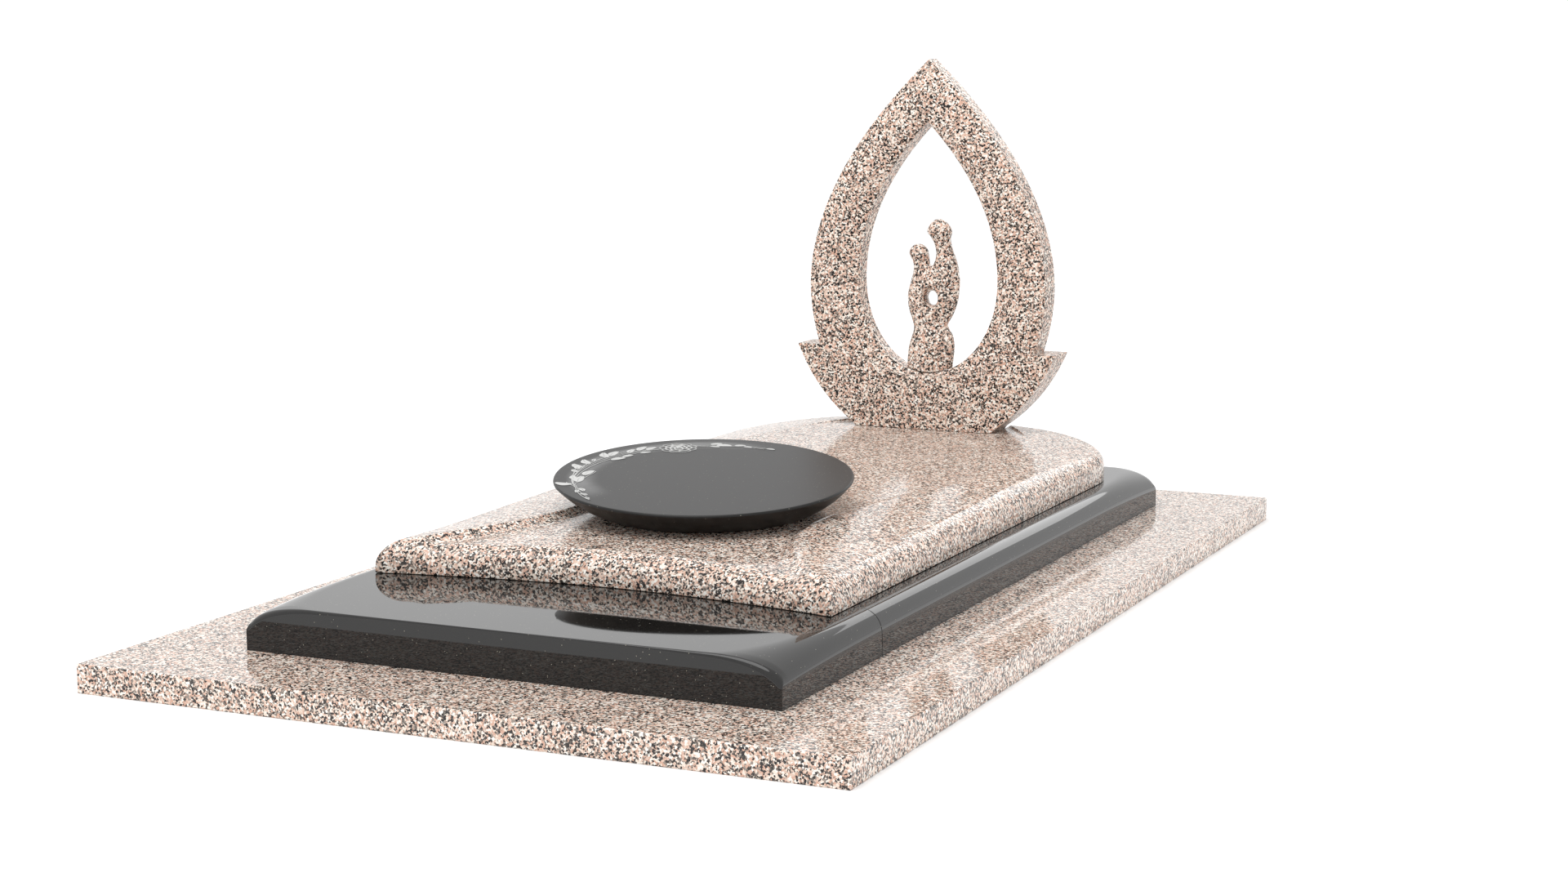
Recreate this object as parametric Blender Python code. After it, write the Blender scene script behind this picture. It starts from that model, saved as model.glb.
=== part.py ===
"""Grave monument of pink and black granite.

A flat base slab carries a black plinth of four blocks. On it lies a crowned pink cover slab with a
sunken path, a black dished disc and an upright pointed ring rising from a boat shaped foot, with an
abstract pair of figures standing in the opening. Metres, +Z up, +Y towards the upright stone.
"""
import bpy
import bmesh
from math import cos, exp, pi, radians, sin, sqrt
from mathutils import Matrix, Vector

# Base slab
SLAB_WIDTH = 1.40
SLAB_LENGTH = 2.40
SLAB_HEIGHT = 0.05
SLAB_ARRIS = 0.0015

# Black plinth: four blocks with rounded sides that flare towards both ends
PLINTH_WIDTH = 1.00
PLINTH_LENGTH = 2.00
PLINTH_HEIGHT = 0.08
FRONT_BLOCK_DEPTH = 0.405
BACK_BLOCK_DEPTH = 0.150
SIDE_BLOCK_WIDTH = 0.150
ROUNDING_WIDTH = 0.040
ROUNDING_HEIGHT = 0.045
ROUNDING_POWER = 2.2
FRONT_FLARE = 0.090
BACK_FLARE = 0.060
FLARE_REACH = 0.090
END_ARRIS = 0.0025
CORNER_ARRIS = 0.015
CORNER_ARRIS_REACH = 0.10

# Pink cover slab
COVER_WIDTH = 0.89
COVER_LENGTH = 1.665
COVER_BACK_MARGIN = 0.020
COVER_FRONT_HOLLOW = 0.057
COVER_BACK_RADIUS = 0.222
COVER_THICKNESS = 0.0544
COVER_EDGE_HEIGHT = 0.047
COVER_EDGE_WIDTH = 0.045
COVER_BACK_EDGE_HEIGHT = 0.030
COVER_BACK_EDGE_WIDTH = 0.028
PATH_DEPTH = 0.0145
PATH_STEP_WIDTH = 0.034
PATH_NECK = 0.242
PATH_BELLY = 0.34

# Black disc
DISC_RADIUS = 0.2828
DISC_RIM = 0.008
DISC_BELLY = 0.068
DISC_BELLY_POWER = 5.0
DISC_BELLY_SETBACK = 0.015
DISC_HEIGHT = 0.0658
DISC_SETBACK = 0.474
DISC_X = -0.0216
DISC_TILT_BACK = 5.05
DISC_TILT_SIDE = 1.96

# Upright stone: pointed ring and boat shaped foot
STELE_HEIGHT = 0.8212
STELE_WIDTH = 0.561
STELE_SETBACK = 0.080
RING_OUTER_DEPTH = 0.068
RING_APEX_DEPTH = 0.052
RING_INNER_DEPTH = 0.048
RING_INNER_TOP_DEPTH = 0.062
RING_BULGE = 0.012
OPENING_WIDTH = 0.3294
OPENING_TOP = 0.138
OPENING_FLOOR = 0.1252
OPENING_MIDDLE = 0.3312
FOOT_WIDTH = 0.324
FOOT_DEPTH = 0.102
FOOT_BOW = 0.010
HORN_SPAN = 0.612
HORN_HEIGHT = 0.1802
HORN_ARC = 0.390
CUP_ARRIS = 0.003

# Pair of figures
FIGURE_HEIGHT = 0.3454
FIGURE_DEPTH = 0.056
EYE_RADIUS = 0.0135

# Clearance between stones that rest on or meet each other
SEAT_GAP = 0.0003

PLINTH_FOOT = SLAB_HEIGHT + SEAT_GAP
PLINTH_TOP = SLAB_HEIGHT + PLINTH_HEIGHT
COVER_FOOT = PLINTH_TOP + SEAT_GAP
COVER_BACK = PLINTH_LENGTH / 2 - COVER_BACK_MARGIN
COVER_FRONT = COVER_BACK - COVER_LENGTH
COVER_HALF = COVER_WIDTH / 2
DISC_Y = COVER_FRONT + DISC_SETBACK
STELE_Y = COVER_BACK - STELE_SETBACK


def clear_scene():
    for thing in list(bpy.data.objects):
        bpy.data.objects.remove(thing, do_unlink=True)


def granite(name, colour, roughness):
    material = bpy.data.materials.new(name)
    material.use_nodes = True
    shader = material.node_tree.nodes["Principled BSDF"]
    shader.inputs["Base Color"].default_value = (*colour, 1.0)
    shader.inputs["Roughness"].default_value = roughness
    shader.inputs["Metallic"].default_value = 0.0
    material.diffuse_color = (*colour, 1.0)
    return material


def ramp(value, start, end):
    share = min(max((value - start) / (end - start), 0.0), 1.0)
    return share * share * (3.0 - 2.0 * share)


def spread(start, end, count):
    return [start + (end - start) * i / count for i in range(count + 1)]


def curve(rows, position):
    """Smooth value between (position, value) rows, sorted by position."""
    places = [row[0] for row in rows]
    values = [row[1] for row in rows]
    if position <= places[0]:
        return values[0]
    if position >= places[-1]:
        return values[-1]
    i = max(k for k in range(len(places) - 1) if places[k] <= position)

    def slope(k):
        if k == 0 or k == len(places) - 1:
            return 0.0
        return (values[k + 1] - values[k - 1]) / (places[k + 1] - places[k - 1])

    step = places[i + 1] - places[i]
    u = (position - places[i]) / step
    first = (1 + 2 * u) * (1 - u) ** 2 * values[i] + u * (1 - u) ** 2 * step * slope(i)
    second = u * u * (3 - 2 * u) * values[i + 1] - u * u * (1 - u) * step * slope(i + 1)
    return first + second


def new_solid(name, mesh_maker, material, sharp=35.0):
    mesh = bpy.data.meshes.new(name)
    shape = bmesh.new()
    mesh_maker(shape)
    bmesh.ops.recalc_face_normals(shape, faces=shape.faces)
    shape.to_mesh(mesh)
    shape.free()
    mesh.shade_smooth()
    mesh.set_sharp_from_angle(angle=radians(sharp))
    solid = bpy.data.objects.new(name, mesh)
    if material:
        mesh.materials.append(material)
    bpy.context.collection.objects.link(solid)
    return solid


def new_cutter(name, mesh_maker):
    cutter = new_solid(name, mesh_maker, None)
    cutter.hide_render = True
    cutter.display_type = "WIRE"
    return cutter


def add_boolean(solid, cutter, operation):
    step = solid.modifiers.new(cutter.name, "BOOLEAN")
    step.operation = operation
    step.solver = "EXACT"
    step.object = cutter


def add_box(shape, low, high):
    size = Vector(high) - Vector(low)
    middle = (Vector(high) + Vector(low)) / 2
    place = Matrix.Translation(middle) @ Matrix.Diagonal((*size, 1.0))
    bmesh.ops.create_cube(shape, size=1.0, matrix=place)


def add_loft(shape, rings, close_ends=True, around=True):
    """Skin rings of equal point count; returns the rings of vertices."""
    rows = [[shape.verts.new(point) for point in ring] for ring in rings]
    for low, high in zip(rows, rows[1:]):
        count = len(low)
        for i in range(count if around else count - 1):
            j = (i + 1) % count
            shape.faces.new((low[i], low[j], high[j], high[i]))
    if close_ends:
        shape.faces.new(list(reversed(rows[0])))
        shape.faces.new(rows[-1])
    return rows


# Plinth

def rounding_width(y):
    """Width of the rounded side, which grows towards the front and the back face."""
    to_front = PLINTH_LENGTH / 2 + y
    to_back = PLINTH_LENGTH / 2 - y
    flare = FRONT_FLARE * exp(-to_front / FLARE_REACH) + BACK_FLARE * exp(-to_back / FLARE_REACH)
    return ROUNDING_WIDTH + flare


def end_arris(x, z):
    """Radius of the quarter round on an end face's top edge, which grows towards the two corners."""
    to_corner = PLINTH_WIDTH / 2 - abs(x)
    wide = END_ARRIS + CORNER_ARRIS * exp(-to_corner / CORNER_ARRIS_REACH)
    return max(min(wide, z - PLINTH_TOP + ROUNDING_HEIGHT), SEAT_GAP)


def rounded_side(y):
    """Points (x, z) of the rounded side at +X, from the flat top out to the upright wall."""
    width = rounding_width(y)
    points = []
    for share in spread(0.0, 1.0, 8):
        out = sin(share * pi / 2)
        level = max(1 - out ** ROUNDING_POWER, 0.0) ** (1 / ROUNDING_POWER)
        points.append((PLINTH_WIDTH / 2 - width * (1 - out), PLINTH_TOP - ROUNDING_HEIGHT * (1 - level)))
    return points


def plinth_stations(low, high):
    """Rows (y, away, fall) along a block; away and fall are shares of the arris of an end face."""
    front = -PLINTH_LENGTH / 2
    back = PLINTH_LENGTH / 2
    quarter = [(1 - cos(a), 1 - sin(a)) for a in spread(0.0, pi / 2, 4)]
    widest = END_ARRIS + CORNER_ARRIS
    steps = [0.12 * FLARE_REACH * k * k for k in range(1, 7)]
    rows = [(low, 0.0, 0.0)] if low > front else [(front, away, fall) for away, fall in quarter]
    near_front = [front + widest + step for step in steps]
    near_back = [back - widest - step for step in reversed(steps)]
    rows += [(y, 0.0, 0.0) for y in near_front + near_back if rows[-1][0] < y < high]
    rows += [(high, 0.0, 0.0)] if high < back else [(back, -away, fall) for away, fall in reversed(quarter)]
    return rows


def top_columns(low_x, high_x, y):
    """X of the points across the flat top between its two ends, closer together near the corners."""
    edge = PLINTH_WIDTH / 2 - rounding_width(y)
    low = -edge if low_x is None else low_x
    high = edge if high_x is None else high_x
    middle = (low + high) / 2
    shares = [-0.93, -0.80, -0.58, -0.3, 0.0, 0.3, 0.58, 0.80, 0.93]
    if low_x is not None and high_x is not None:
        shares = [-0.5, 0.0, 0.5]
    elif low_x is not None or high_x is not None:
        shares = [0.0]
    return [middle + share * (high - low) / 2 for share in shares]


def plinth_block(low_x, high_x, low_y, high_y):
    """A block between two X values, where None stands for a rounded side."""
    wall = PLINTH_WIDTH / 2

    def make(shape):
        rings = []
        for y, away, fall in plinth_stations(low_y, high_y):
            side = rounded_side(y)
            left = [(low_x, PLINTH_TOP)] if low_x is not None else [(-x, z) for x, z in reversed(side)]
            right = [(high_x, PLINTH_TOP)] if high_x is not None else side
            top = [(x, PLINTH_TOP) for x in top_columns(low_x, high_x, y)]
            foot_left = low_x if low_x is not None else -wall
            foot_right = high_x if high_x is not None else wall
            ring = [(foot_left, y + away * SEAT_GAP, PLINTH_FOOT)]
            for x, z in left + top + right:
                arris = end_arris(x, z)
                ring.append((x, y + away * arris, z - fall * arris))
            rings.append(ring + [(foot_right, y + away * SEAT_GAP, PLINTH_FOOT)])
        add_loft(shape, rings)

    return make


def make_plinth(material):
    half_y = PLINTH_LENGTH / 2
    inner = PLINTH_WIDTH / 2 - SIDE_BLOCK_WIDTH
    joint = SEAT_GAP / 2
    front_joint = -half_y + FRONT_BLOCK_DEPTH
    blocks = {
        "plinth_front": (None, None, -half_y, front_joint - joint),
        "plinth_back": (-inner + joint, inner - joint, half_y - BACK_BLOCK_DEPTH, half_y),
        "plinth_left": (None, -inner - joint, front_joint + joint, half_y),
        "plinth_right": (inner + joint, None, front_joint + joint, half_y),
    }
    for name, extent in blocks.items():
        new_solid(name, plinth_block(*extent), material)


# Cover slab

def cover_share(y):
    return (y - COVER_FRONT) / COVER_LENGTH


def path_crest(y):
    """Half width of the sunken path at its upper edge."""
    v = cover_share(y)
    neck = COVER_HALF * PATH_NECK / 0.445
    belly = COVER_HALF * PATH_BELLY / 0.445
    if v < 0.245:
        return min(neck + COVER_HALF * 8.72 * (0.245 - v) ** 2.14, 0.93 * COVER_HALF)
    if v < 0.653:
        return neck + (belly - neck) * (1 - cos(pi * (v - 0.245) / 0.408)) / 2
    return belly * sqrt(max(1 - ((v - 0.653) / 0.384) ** 2, 0.02))


def path_rise(y):
    """Height of the path's upper edge above the plain crowned surface."""
    v = cover_share(y)
    return PATH_DEPTH * (0.76 + 0.24 * ramp(v, 0.0, 0.07) - 0.55 * ramp(v, 0.25, 0.90))


def path_step(y):
    return PATH_STEP_WIDTH * path_rise(y) / PATH_DEPTH


def wing_top(x, y):
    v = cover_share(y)
    across = x / COVER_HALF
    crest = path_crest(y) / COVER_HALF
    u = min(max((abs(across) - crest) / (1 - crest), 0.0), 1.0)
    crown = 0.0590 * v - 0.0299 * v * v - (0.0099 + 0.0194 * v) * across * across
    return COVER_FOOT + COVER_THICKNESS + crown + path_rise(y) * (1 - u * u)


def path_floor(x, y):
    v = cover_share(y)
    across = x / COVER_HALF
    crown = 0.0619 * v - 0.0384 * v * v - (0.0106 - 0.0143 * v) * across * across
    return COVER_FOOT + COVER_THICKNESS + crown


def cover_top(x, y):
    """Height of the cover slab's upper surface inside its rounded edge."""
    crest = path_crest(y)
    if abs(x) >= crest:
        return wing_top(x, y)
    floor = path_floor(x, y)
    share = min((crest - abs(x)) / path_step(y), 1.0)
    return floor + (wing_top(crest, y) - floor) * (1 - share) ** 2


def edge_width(y):
    return COVER_EDGE_WIDTH + (COVER_BACK_EDGE_WIDTH - COVER_EDGE_WIDTH) * ramp(cover_share(y), 0.7, 0.88)


def edge_height(y):
    return COVER_EDGE_HEIGHT + (COVER_BACK_EDGE_HEIGHT - COVER_EDGE_HEIGHT) * ramp(cover_share(y), 0.7, 0.88)


def front_arc():
    """Radius and centre Y of the front edge, hollowed in a circular arc between its two corners."""
    radius = (COVER_HALF ** 2 + COVER_FRONT_HOLLOW ** 2) / (2 * COVER_FRONT_HOLLOW)
    return radius, COVER_FRONT + COVER_FRONT_HOLLOW - radius


def front_curve(x, inset):
    radius, centre = front_arc()
    return centre + sqrt((radius + inset) ** 2 - x * x)


def cover_columns(y, half):
    """X of one row's points: rounded wings, the two steps of the path and its floor."""
    crest = min(path_crest(y), half * 0.97)
    step = path_step(y)
    right = [0.0, 0.33 * (crest - step), 0.67 * (crest - step), crest - step]
    right += [crest - 0.62 * step, crest - 0.28 * step, crest]
    right += [crest + (half - crest) * sin(share * pi / 2) for share in spread(0.0, 1.0, 5)[1:]]
    return [-x for x in reversed(right[1:])] + right


def make_cover(shape):
    inner_front = COVER_HALF - COVER_EDGE_WIDTH
    front_width = COVER_EDGE_WIDTH
    corner_y = COVER_BACK - COVER_BACK_RADIUS
    corner_x = COVER_HALF - COVER_BACK_RADIUS
    inner_radius = COVER_BACK_RADIUS - COVER_BACK_EDGE_WIDTH
    sides = []
    side_start = front_curve(inner_front, front_width)
    for y in spread(side_start, corner_y, 14):
        half = COVER_HALF - edge_width(y)
        sides.append((half, y, (1.0, 0.0)))
    for share in spread(0.0, 1.0, 7)[1:]:
        angle = share * pi / 2
        normal = (cos(angle), sin(angle))
        sides.append((corner_x + inner_radius * normal[0], corner_y + inner_radius * normal[1], normal))
    grid = []
    last = len(sides) - 1
    for j, (half, side_y, normal) in enumerate(sides):
        row = []
        bow = 1 - ramp(side_y, side_start, side_start + 0.45 * COVER_LENGTH)
        for x in cover_columns(side_y, half):
            y = side_y + bow * (front_curve(x, front_width) - front_curve(half, front_width))
            crest_shift = path_crest(y) / path_crest(side_y)
            if abs(x) <= path_crest(side_y):
                x = x * crest_shift
            else:
                u = (abs(x) - path_crest(side_y)) / (half - path_crest(side_y))
                wide = path_crest(y) + u * (half - path_crest(y))
                x = wide if x > 0 else -wide
            row.append((x, y))
        grid.append(row)
    verts = [[shape.verts.new((x, y, cover_top(x, y))) for x, y in row] for row in grid]
    for low, high in zip(verts, verts[1:]):
        for i in range(len(low) - 1):
            shape.faces.new((low[i], low[i + 1], high[i + 1], high[i]))
    columns = len(grid[0])
    rim = []
    for i in range(columns):
        rim.append((verts[0][i], front_outward(*grid[0][i])))
    for j in range(1, last + 1):
        rim.append((verts[j][-1], sides[j][2]))
    for i in range(columns - 2, 0, -1):
        rim.append((verts[last][i], (0.0, 1.0)))
    for j in range(last, 0, -1):
        rim.append((verts[j][0], (-sides[j][2][0], sides[j][2][1])))
    previous = [vert for vert, normal in rim]
    for share in (0.82, 0.64, 0.46, 0.30, 0.17, 0.07, 0.0, -1.0):
        ring = []
        for vert, normal in rim:
            x, y, z = vert.co
            width = edge_width(y)
            height = edge_height(y)
            away = width * (1 - max(share, 0.0))
            drop = height * (1 - sqrt(1 - (1 - max(share, 0.0)) ** 2))
            low = COVER_FOOT if share < 0 else z - drop
            ring.append(shape.verts.new((x + normal[0] * away, y + normal[1] * away, low)))
        for i in range(len(ring)):
            k = (i + 1) % len(ring)
            shape.faces.new((previous[i], previous[k], ring[k], ring[i]))
        previous = ring
    shape.faces.new(list(reversed(previous)))


def front_outward(x, y):
    """Step from the inner line of the rounded front edge to the edge, per unit of its width."""
    radius, centre = front_arc()
    if abs(x) > COVER_HALF - COVER_EDGE_WIDTH - 1e-6:
        corner = COVER_HALF if x > 0 else -COVER_HALF
        return ((corner - x) / COVER_EDGE_WIDTH, (COVER_FRONT - y) / COVER_EDGE_WIDTH)
    reach = radius + COVER_EDGE_WIDTH
    return (-x / reach, (centre - y) / reach)


# Disc

def disc_place():
    """Rotation and centre of the disc's flat top."""
    turn = Matrix.Rotation(radians(DISC_TILT_BACK), 4, "X") @ Matrix.Rotation(radians(DISC_TILT_SIDE), 4, "Y")
    height = path_floor(DISC_X, DISC_Y) + DISC_HEIGHT
    return Matrix.Translation((DISC_X, DISC_Y, height)) @ turn


def disc_point(place, angle, radius, level):
    return place @ Vector((radius * cos(angle), radius * sin(angle), level))


def make_disc(shape):
    place = disc_place()
    half_rim = DISC_RIM / 2
    around = 60
    angles = [2 * pi * i / around for i in range(around)]
    rings = []
    for radius, level in ((0.06, 0.0), (0.5, 0.0), (1 - 0.030, 0.0), (1 - 0.012, -0.18), (1.0, -1.0)):
        rings.append([disc_point(place, a, DISC_RADIUS * radius, DISC_RIM / 2 * level) for a in angles])
    belly_top = -half_rim

    def belly(angle, share):
        sunk = 1 - (1 - share) ** DISC_BELLY_POWER
        point = disc_point(place, angle, DISC_RADIUS * (1 - share), belly_top - DISC_BELLY * sunk)
        return point + Vector((0.0, DISC_BELLY_SETBACK * sunk, 0.0))

    contact = []
    for angle in angles:
        low, high = 0.0, 1.0
        for _ in range(40):
            middle = (low + high) / 2
            point = belly(angle, middle)
            if point.z > path_floor(point.x, point.y) + SEAT_GAP:
                low = middle
            else:
                high = middle
        contact.append(low)
    steps = 8
    for k in range(1, steps + 1):
        rings.append([belly(a, c * k / steps) for a, c in zip(angles, contact)])
    centre = sum((Vector(p) for p in rings[-1]), Vector()) / around
    seat = rings[-1]
    for share in (0.66, 0.33):
        ring = []
        for edge in seat:
            x = centre.x + (edge.x - centre.x) * share
            y = centre.y + (edge.y - centre.y) * share
            ring.append(Vector((x, y, path_floor(x, y) + SEAT_GAP)))
        rings.append(ring)
    add_loft(shape, rings)


# Upright stone

def stele_base():
    return path_floor(0.0, STELE_Y)


def ring_outer(z_share):
    """Outer half width of the ring at a height given from the stone's seat."""
    middle = STELE_HEIGHT * 0.3869
    reach = STELE_HEIGHT - middle
    return STELE_WIDTH / 2 * (1 - (abs(z_share - middle) / reach) ** 1.92)


def ring_stations():
    """Pairs of outer and inner points round the whole ring, from the apex down the +X limb."""
    top = STELE_HEIGHT - OPENING_TOP
    middle = OPENING_MIDDLE
    half = OPENING_WIDTH / 2
    pairs = []
    upper = 17
    for i in range(upper):
        share = i / upper
        inner_z = top - (top - middle) * share
        inner_x = half * (1 - ((inner_z - middle) / (top - middle)) ** 2.08)
        outer_z = STELE_HEIGHT - (STELE_HEIGHT - 0.97 * middle) * share
        pairs.append(((ring_outer(outer_z), outer_z), (inner_x, inner_z)))
    lower = 15
    turn_z = 0.45 * OPENING_FLOOR + 0.02
    for i in range(lower + 1):
        angle = pi / 2 * i / lower
        inner_x = half * cos(angle)
        inner_z = middle - (middle - OPENING_FLOOR) * sin(angle)
        if i <= 9:
            outer_z = 0.97 * middle - (0.97 * middle - turn_z) * i / 9
            outer_x = ring_outer(outer_z)
        else:
            outer_z = turn_z
            outer_x = ring_outer(turn_z) * (lower - i) / (lower - 9)
        pairs.append(((outer_x, outer_z), (inner_x, inner_z)))
    mirrored = [((-o[0], o[1]), (-n[0], n[1])) for o, n in reversed(pairs[1:-1])]
    return pairs + mirrored


def ring_depth(share, z):
    """Half depth of the ring's section, from its outer wall (0) to its inner wall (1)."""
    rise = ramp(z, OPENING_MIDDLE, STELE_HEIGHT)
    outer = RING_OUTER_DEPTH + (RING_APEX_DEPTH - RING_OUTER_DEPTH) * rise
    inner = RING_INNER_DEPTH + (RING_INNER_TOP_DEPTH - RING_INNER_DEPTH) * rise
    return (outer + (inner - outer) * share) / 2 + RING_BULGE * sin(pi * share) ** 0.8


def make_ring(shape):
    base = stele_base()
    shares = (0.0, 0.06, 0.18, 0.36, 0.55, 0.74, 0.90, 1.0)
    section = [(share, -1) for share in shares] + [(share, 1) for share in reversed(shares)]
    rows = []
    for outer, inner in ring_stations():
        row = []
        for share, side in section:
            x = outer[0] + (inner[0] - outer[0]) * share
            z = outer[1] + (inner[1] - outer[1]) * share
            row.append(shape.verts.new((x, STELE_Y + side * ring_depth(share, z), base + z)))
        rows.append(row)
    for k in range(len(rows)):
        low = rows[k]
        high = rows[(k + 1) % len(rows)]
        for i in range(len(low)):
            j = (i + 1) % len(low)
            shape.faces.new((low[i], low[j], high[j], high[i]))


def cup_top(x):
    """Height of the boat's upper edge above the seat."""
    low = OPENING_FLOOR - 0.0035
    share = abs(x) / (HORN_SPAN / 2)
    return low + (HORN_HEIGHT - low) * ramp(share, 0.115, 0.80)


def cup_bottom(x):
    """Height of the boat's rounded underside above the seat, outside the flat foot."""
    start = Vector((FOOT_WIDTH / 2, 0.0035))
    tip = Vector((HORN_SPAN / 2, HORN_HEIGHT - CUP_ARRIS))
    chord = tip - start
    normal = Vector((-chord.y, chord.x)).normalized()
    centre = (start + tip) / 2 + normal * sqrt(HORN_ARC ** 2 - chord.length_squared / 4)
    reach = min(abs(x) - centre.x, HORN_ARC)
    return centre.y - sqrt(HORN_ARC ** 2 - reach ** 2)


def make_cup(shape):
    base = stele_base()
    half_foot = FOOT_WIDTH / 2
    tip = HORN_SPAN / 2
    flat = spread(0.0, half_foot, 10)
    rest = [half_foot + (tip - half_foot) * sin(share * pi / 2) for share in spread(0.0, 0.97, 12)[1:]]
    right = flat + rest
    stations = [-x for x in reversed(right[1:])] + right
    rings = []
    for x in stations:
        bow = FOOT_BOW * (x / tip) ** 2
        front = STELE_Y - FOOT_DEPTH / 2 + bow
        back = STELE_Y + FOOT_DEPTH / 2 - bow * 0.4
        top = base + cup_top(x)
        if abs(x) <= half_foot + 1e-6:
            low_front = cover_top(x, front) + SEAT_GAP
            low_back = cover_top(x, back) + SEAT_GAP
        else:
            low_front = low_back = max(base + cup_bottom(x), cover_top(x, STELE_Y) + SEAT_GAP)
        arris = min(CUP_ARRIS, 0.35 * (top - max(low_front, low_back)))
        rings.append([
            (x, front, low_front),
            (x, back, low_back),
            (x, back, top - arris),
            (x, back - arris, top),
            (x, front + arris, top),
            (x, front, top - arris),
        ])
    add_loft(shape, rings)


# Pair of figures

BODY = ((0.0, -0.0535, 0.0520), (0.08, -0.0540, 0.0548), (0.165, -0.0510, 0.0574), (0.245, -0.0425, 0.0530),
        (0.285, -0.0393, 0.0440), (0.31, -0.0405, 0.0410), (0.365, -0.0475, 0.0516), (0.42, -0.0530, 0.0600),
        (0.47, -0.0547, 0.0650), (0.52, -0.0538, 0.0671), (0.59, -0.0470, 0.0690), (0.64, -0.0430, 0.0670),
        (0.69, -0.0400, 0.0615))
TALL = ((0.58, -0.004, 0.064), (0.67, 0.004, 0.0652), (0.75, 0.0125, 0.0574), (0.81, 0.0110, 0.0497),
        (0.87, 0.0020, 0.0455), (0.91, -0.0085, 0.0486), (0.945, -0.0050, 0.0440), (0.975, 0.0025, 0.0355),
        (0.992, 0.0100, 0.0260))
SMALL = ((0.57, -0.0420, 0.006), (0.64, -0.0415, 0.0), (0.685, -0.0405, -0.0030), (0.72, -0.0435, -0.0040),
         (0.765, -0.0512, -0.0068), (0.79, -0.0500, -0.0085), (0.815, -0.0440, -0.0150), (0.828, -0.0380, -0.0220))


def figure_floor(x):
    """Height of the ring's opening under the figures."""
    across = min(abs(x) / (OPENING_WIDTH / 2), 0.9)
    drop = (OPENING_MIDDLE - OPENING_FLOOR) * sqrt(1 - across * across)
    return stele_base() + OPENING_MIDDLE - drop + SEAT_GAP


def make_form(rows, count, around, full_depth, on_floor):
    base = stele_base() + OPENING_FLOOR + SEAT_GAP
    left = [(share, low) for share, low, high in rows]
    right = [(share, high) for share, low, high in rows]

    def make(shape):
        rings = []
        for share in spread(rows[0][0], rows[-1][0], count):
            x_low = curve(left, share)
            x_high = curve(right, share)
            middle = (x_low + x_high) / 2
            half = (x_high - x_low) / 2
            depth = FIGURE_DEPTH / 2 * full_depth(share, half)
            ring = []
            for i in range(around):
                angle = 2 * pi * (i + 0.5) / around
                x = middle + half * cos(angle)
                z = base + share * FIGURE_HEIGHT
                if on_floor:
                    z = max(z, figure_floor(x)) if share > rows[0][0] else figure_floor(x)
                ring.append((x, STELE_Y + depth * sin(angle), z))
            rings.append(ring)
        add_loft(shape, rings)

    return make


def body_depth(share, half):
    waist = 1 - 0.16 * ramp(share, 0.12, 0.30) * (1 - ramp(share, 0.33, 0.48))
    return waist * (1 - 0.35 * ramp(share, 0.6, 0.69))


def head_depth(share, half):
    return min(half / (FIGURE_DEPTH / 2) * 0.95, 1.0)


def make_eye(shape):
    """Hourglass shaped cutter for the round opening between the two figures."""
    x_middle = 0.0055
    z_middle = stele_base() + OPENING_FLOOR + 0.483 * FIGURE_HEIGHT
    rings = []
    for share in spread(-1.0, 1.0, 10):
        radius = EYE_RADIUS * (1 + 1.5 * abs(share) ** 1.8)
        y = STELE_Y + share * 0.75 * FIGURE_DEPTH
        ring = []
        for i in range(20):
            angle = 2 * pi * i / 20
            ring.append((x_middle + radius * cos(angle), y, z_middle + 1.15 * radius * sin(angle)))
        rings.append(ring)
    add_loft(shape, rings)


def build():
    clear_scene()
    pink = granite("pink_granite", (0.62, 0.49, 0.42), 0.12)
    pink_base = granite("pink_granite_slab", (0.62, 0.49, 0.42), 0.15)
    pink_cover = granite("pink_granite_cover", (0.62, 0.49, 0.42), 0.12)
    pink_figure = granite("pink_granite_figure", (0.60, 0.47, 0.40), 0.16)
    black = granite("black_granite", (0.02, 0.02, 0.022), 0.05)
    black_disc = granite("black_granite_disc", (0.015, 0.015, 0.017), 0.05)

    def slab(shape):
        add_box(shape, (-SLAB_WIDTH / 2, -SLAB_LENGTH / 2, 0.0), (SLAB_WIDTH / 2, SLAB_LENGTH / 2, SLAB_HEIGHT))

    base = new_solid("base_slab", slab, pink_base)
    arris = base.modifiers.new("arris", "BEVEL")
    arris.width = SLAB_ARRIS
    arris.segments = 1
    make_plinth(black)
    new_solid("cover_slab", make_cover, pink_cover, 50.0)
    new_solid("disc", make_disc, black_disc)
    stele = new_solid("stele", make_ring, pink, 30.0)
    cup = new_cutter("stele_foot", make_cup)
    add_boolean(stele, cup, "UNION")
    figure = new_solid("figure", make_form(BODY, 30, 20, body_depth, True), pink_figure, 60.0)
    tall = new_cutter("tall_form", make_form(TALL, 18, 16, head_depth, False))
    small = new_cutter("small_form", make_form(SMALL, 14, 14, head_depth, False))
    eye = new_cutter("eye_form", make_eye)
    add_boolean(figure, tall, "UNION")
    add_boolean(figure, small, "UNION")
    add_boolean(figure, eye, "DIFFERENCE")


build()
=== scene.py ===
"""Looks of a grave monument of pink and black granite: fine carved surfaces and polished stone.

Every finished stone takes the place of its solid in the frame. Metres, +Z up, +Y towards the
upright stone, with the ground at Z = 0.
"""
from math import cos, exp, pi, radians, sin, sqrt

import bmesh
import bpy
from mathutils import Matrix, Vector


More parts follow.
